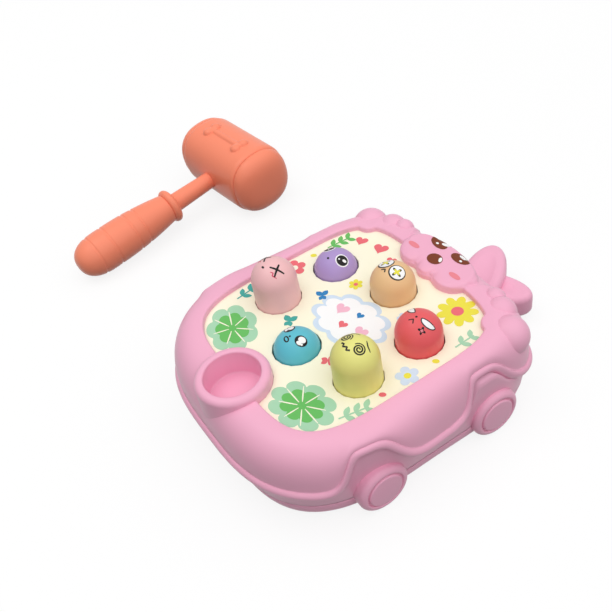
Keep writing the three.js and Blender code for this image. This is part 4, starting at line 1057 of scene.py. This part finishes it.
# White to the camera, and to the object a soft sky that is brighter towards the light
def makeStudio():
    world = bpy.data.worlds.new("studio")
    bpy.context.scene.world = world
    world.use_nodes = True
    tree = world.node_tree
    tree.nodes.clear()
    seen = shownTo(tree)
    way = Wire(tree, tree.nodes.new("ShaderNodeTexCoord").outputs["Generated"])
    towards = way.along(studio["light"]).math("MAXIMUM", 0.0).math("POWER", studio["tightness"])
    level = towards * (studio["bright"] - studio["dark"]) + studio["dark"]
    white = seen.add("ShaderNodeBackground", {}, {"Color": (1.0, 1.0, 1.0, 1.0), "Strength": 1.0})
    soft = seen.add("ShaderNodeBackground", {}, {"Color": (1.0, 1.0, 1.0, 1.0), "Strength": level})
    both = seen.add("ShaderNodeMixShader", {}, {0: seen, 1: soft, 2: white})
    out = tree.nodes.new("ShaderNodeOutputWorld")
    tree.links.new(both.socket, out.inputs["Surface"])
    data = bpy.data.lights.new("key", "AREA")
    data.size = studio["keySize"]
    data.energy = studio["keyPower"]
    lamp = bpy.data.objects.new("key", data)
    lamp.location = studio["key"]
    aim = Vector(studio["keyAim"]) - Vector(studio["key"])
    lamp.rotation_euler = aim.to_track_quat("-Z", "Y").to_euler()
    bpy.context.scene.collection.objects.link(lamp)
    bpy.context.scene.view_settings.view_transform = "Standard"


# Pale floor that glows white to the camera, through which the shadow still shows faintly
def makeFloor():
    material = bpy.data.materials.new("floor")
    material.use_nodes = True
    tree = material.node_tree
    shader = tree.nodes["Principled BSDF"]
    tone = studio["floorTone"]
    seen = shownTo(tree)
    tree.links.new(seen.mix((tone, tone, tone, 1.0), (1.0, 1.0, 1.0, 1.0)).socket, shader.inputs["Base Color"])
    shader.inputs["Roughness"].default_value = studio["floorRoughness"]
    shader.inputs["Specular IOR Level"].default_value = studio["floorSpecular"]
    glow = seen.add("ShaderNodeEmission", {}, {"Color": (1.0, 1.0, 1.0, 1.0), "Strength": 1.0})
    surface = Wire(tree, shader.outputs[0])
    both = seen.add("ShaderNodeMixShader", {}, {0: seen * studio["floorGlow"], 1: surface, 2: glow})
    tree.links.new(both.socket, tree.nodes["Material Output"].inputs["Surface"])
    half, z = studio["floorSize"], studio["floor"]
    mesh = bpy.data.meshes.new("floor")
    mesh.from_pydata([(-half, -half, z), (half, -half, z), (half, half, z), (-half, half, z)], [], [(0, 1, 2, 3)])
    mesh.materials.append(material)
    floor = bpy.data.objects.new("floor", mesh)
    bpy.context.scene.collection.objects.link(floor)


makeStudio()
makeFloor()
print("studio made")


# The paint of a CAD node, by its name
def paintOf(name):
    if name.startswith("mole_"):
        return name
    if name.startswith(("pin_", "case_screw", "board_screw", "guide_screw")):
        return "steel"
    if name.startswith(("stem_", "rocker_", "guide_")):
        return "inner"
    if name.startswith("hammer_"):
        return "spot" if "spot" in name else "hammer"
    return {"play_board": "board", "board_sheet": "film"}.get(name, "case")


for name, node in nodes.items():
    if node.data.materials:
        node.data.materials[0] = paints[paintOf(name)]
    else:
        node.data.materials.append(paints[paintOf(name)])
print("frame painted")
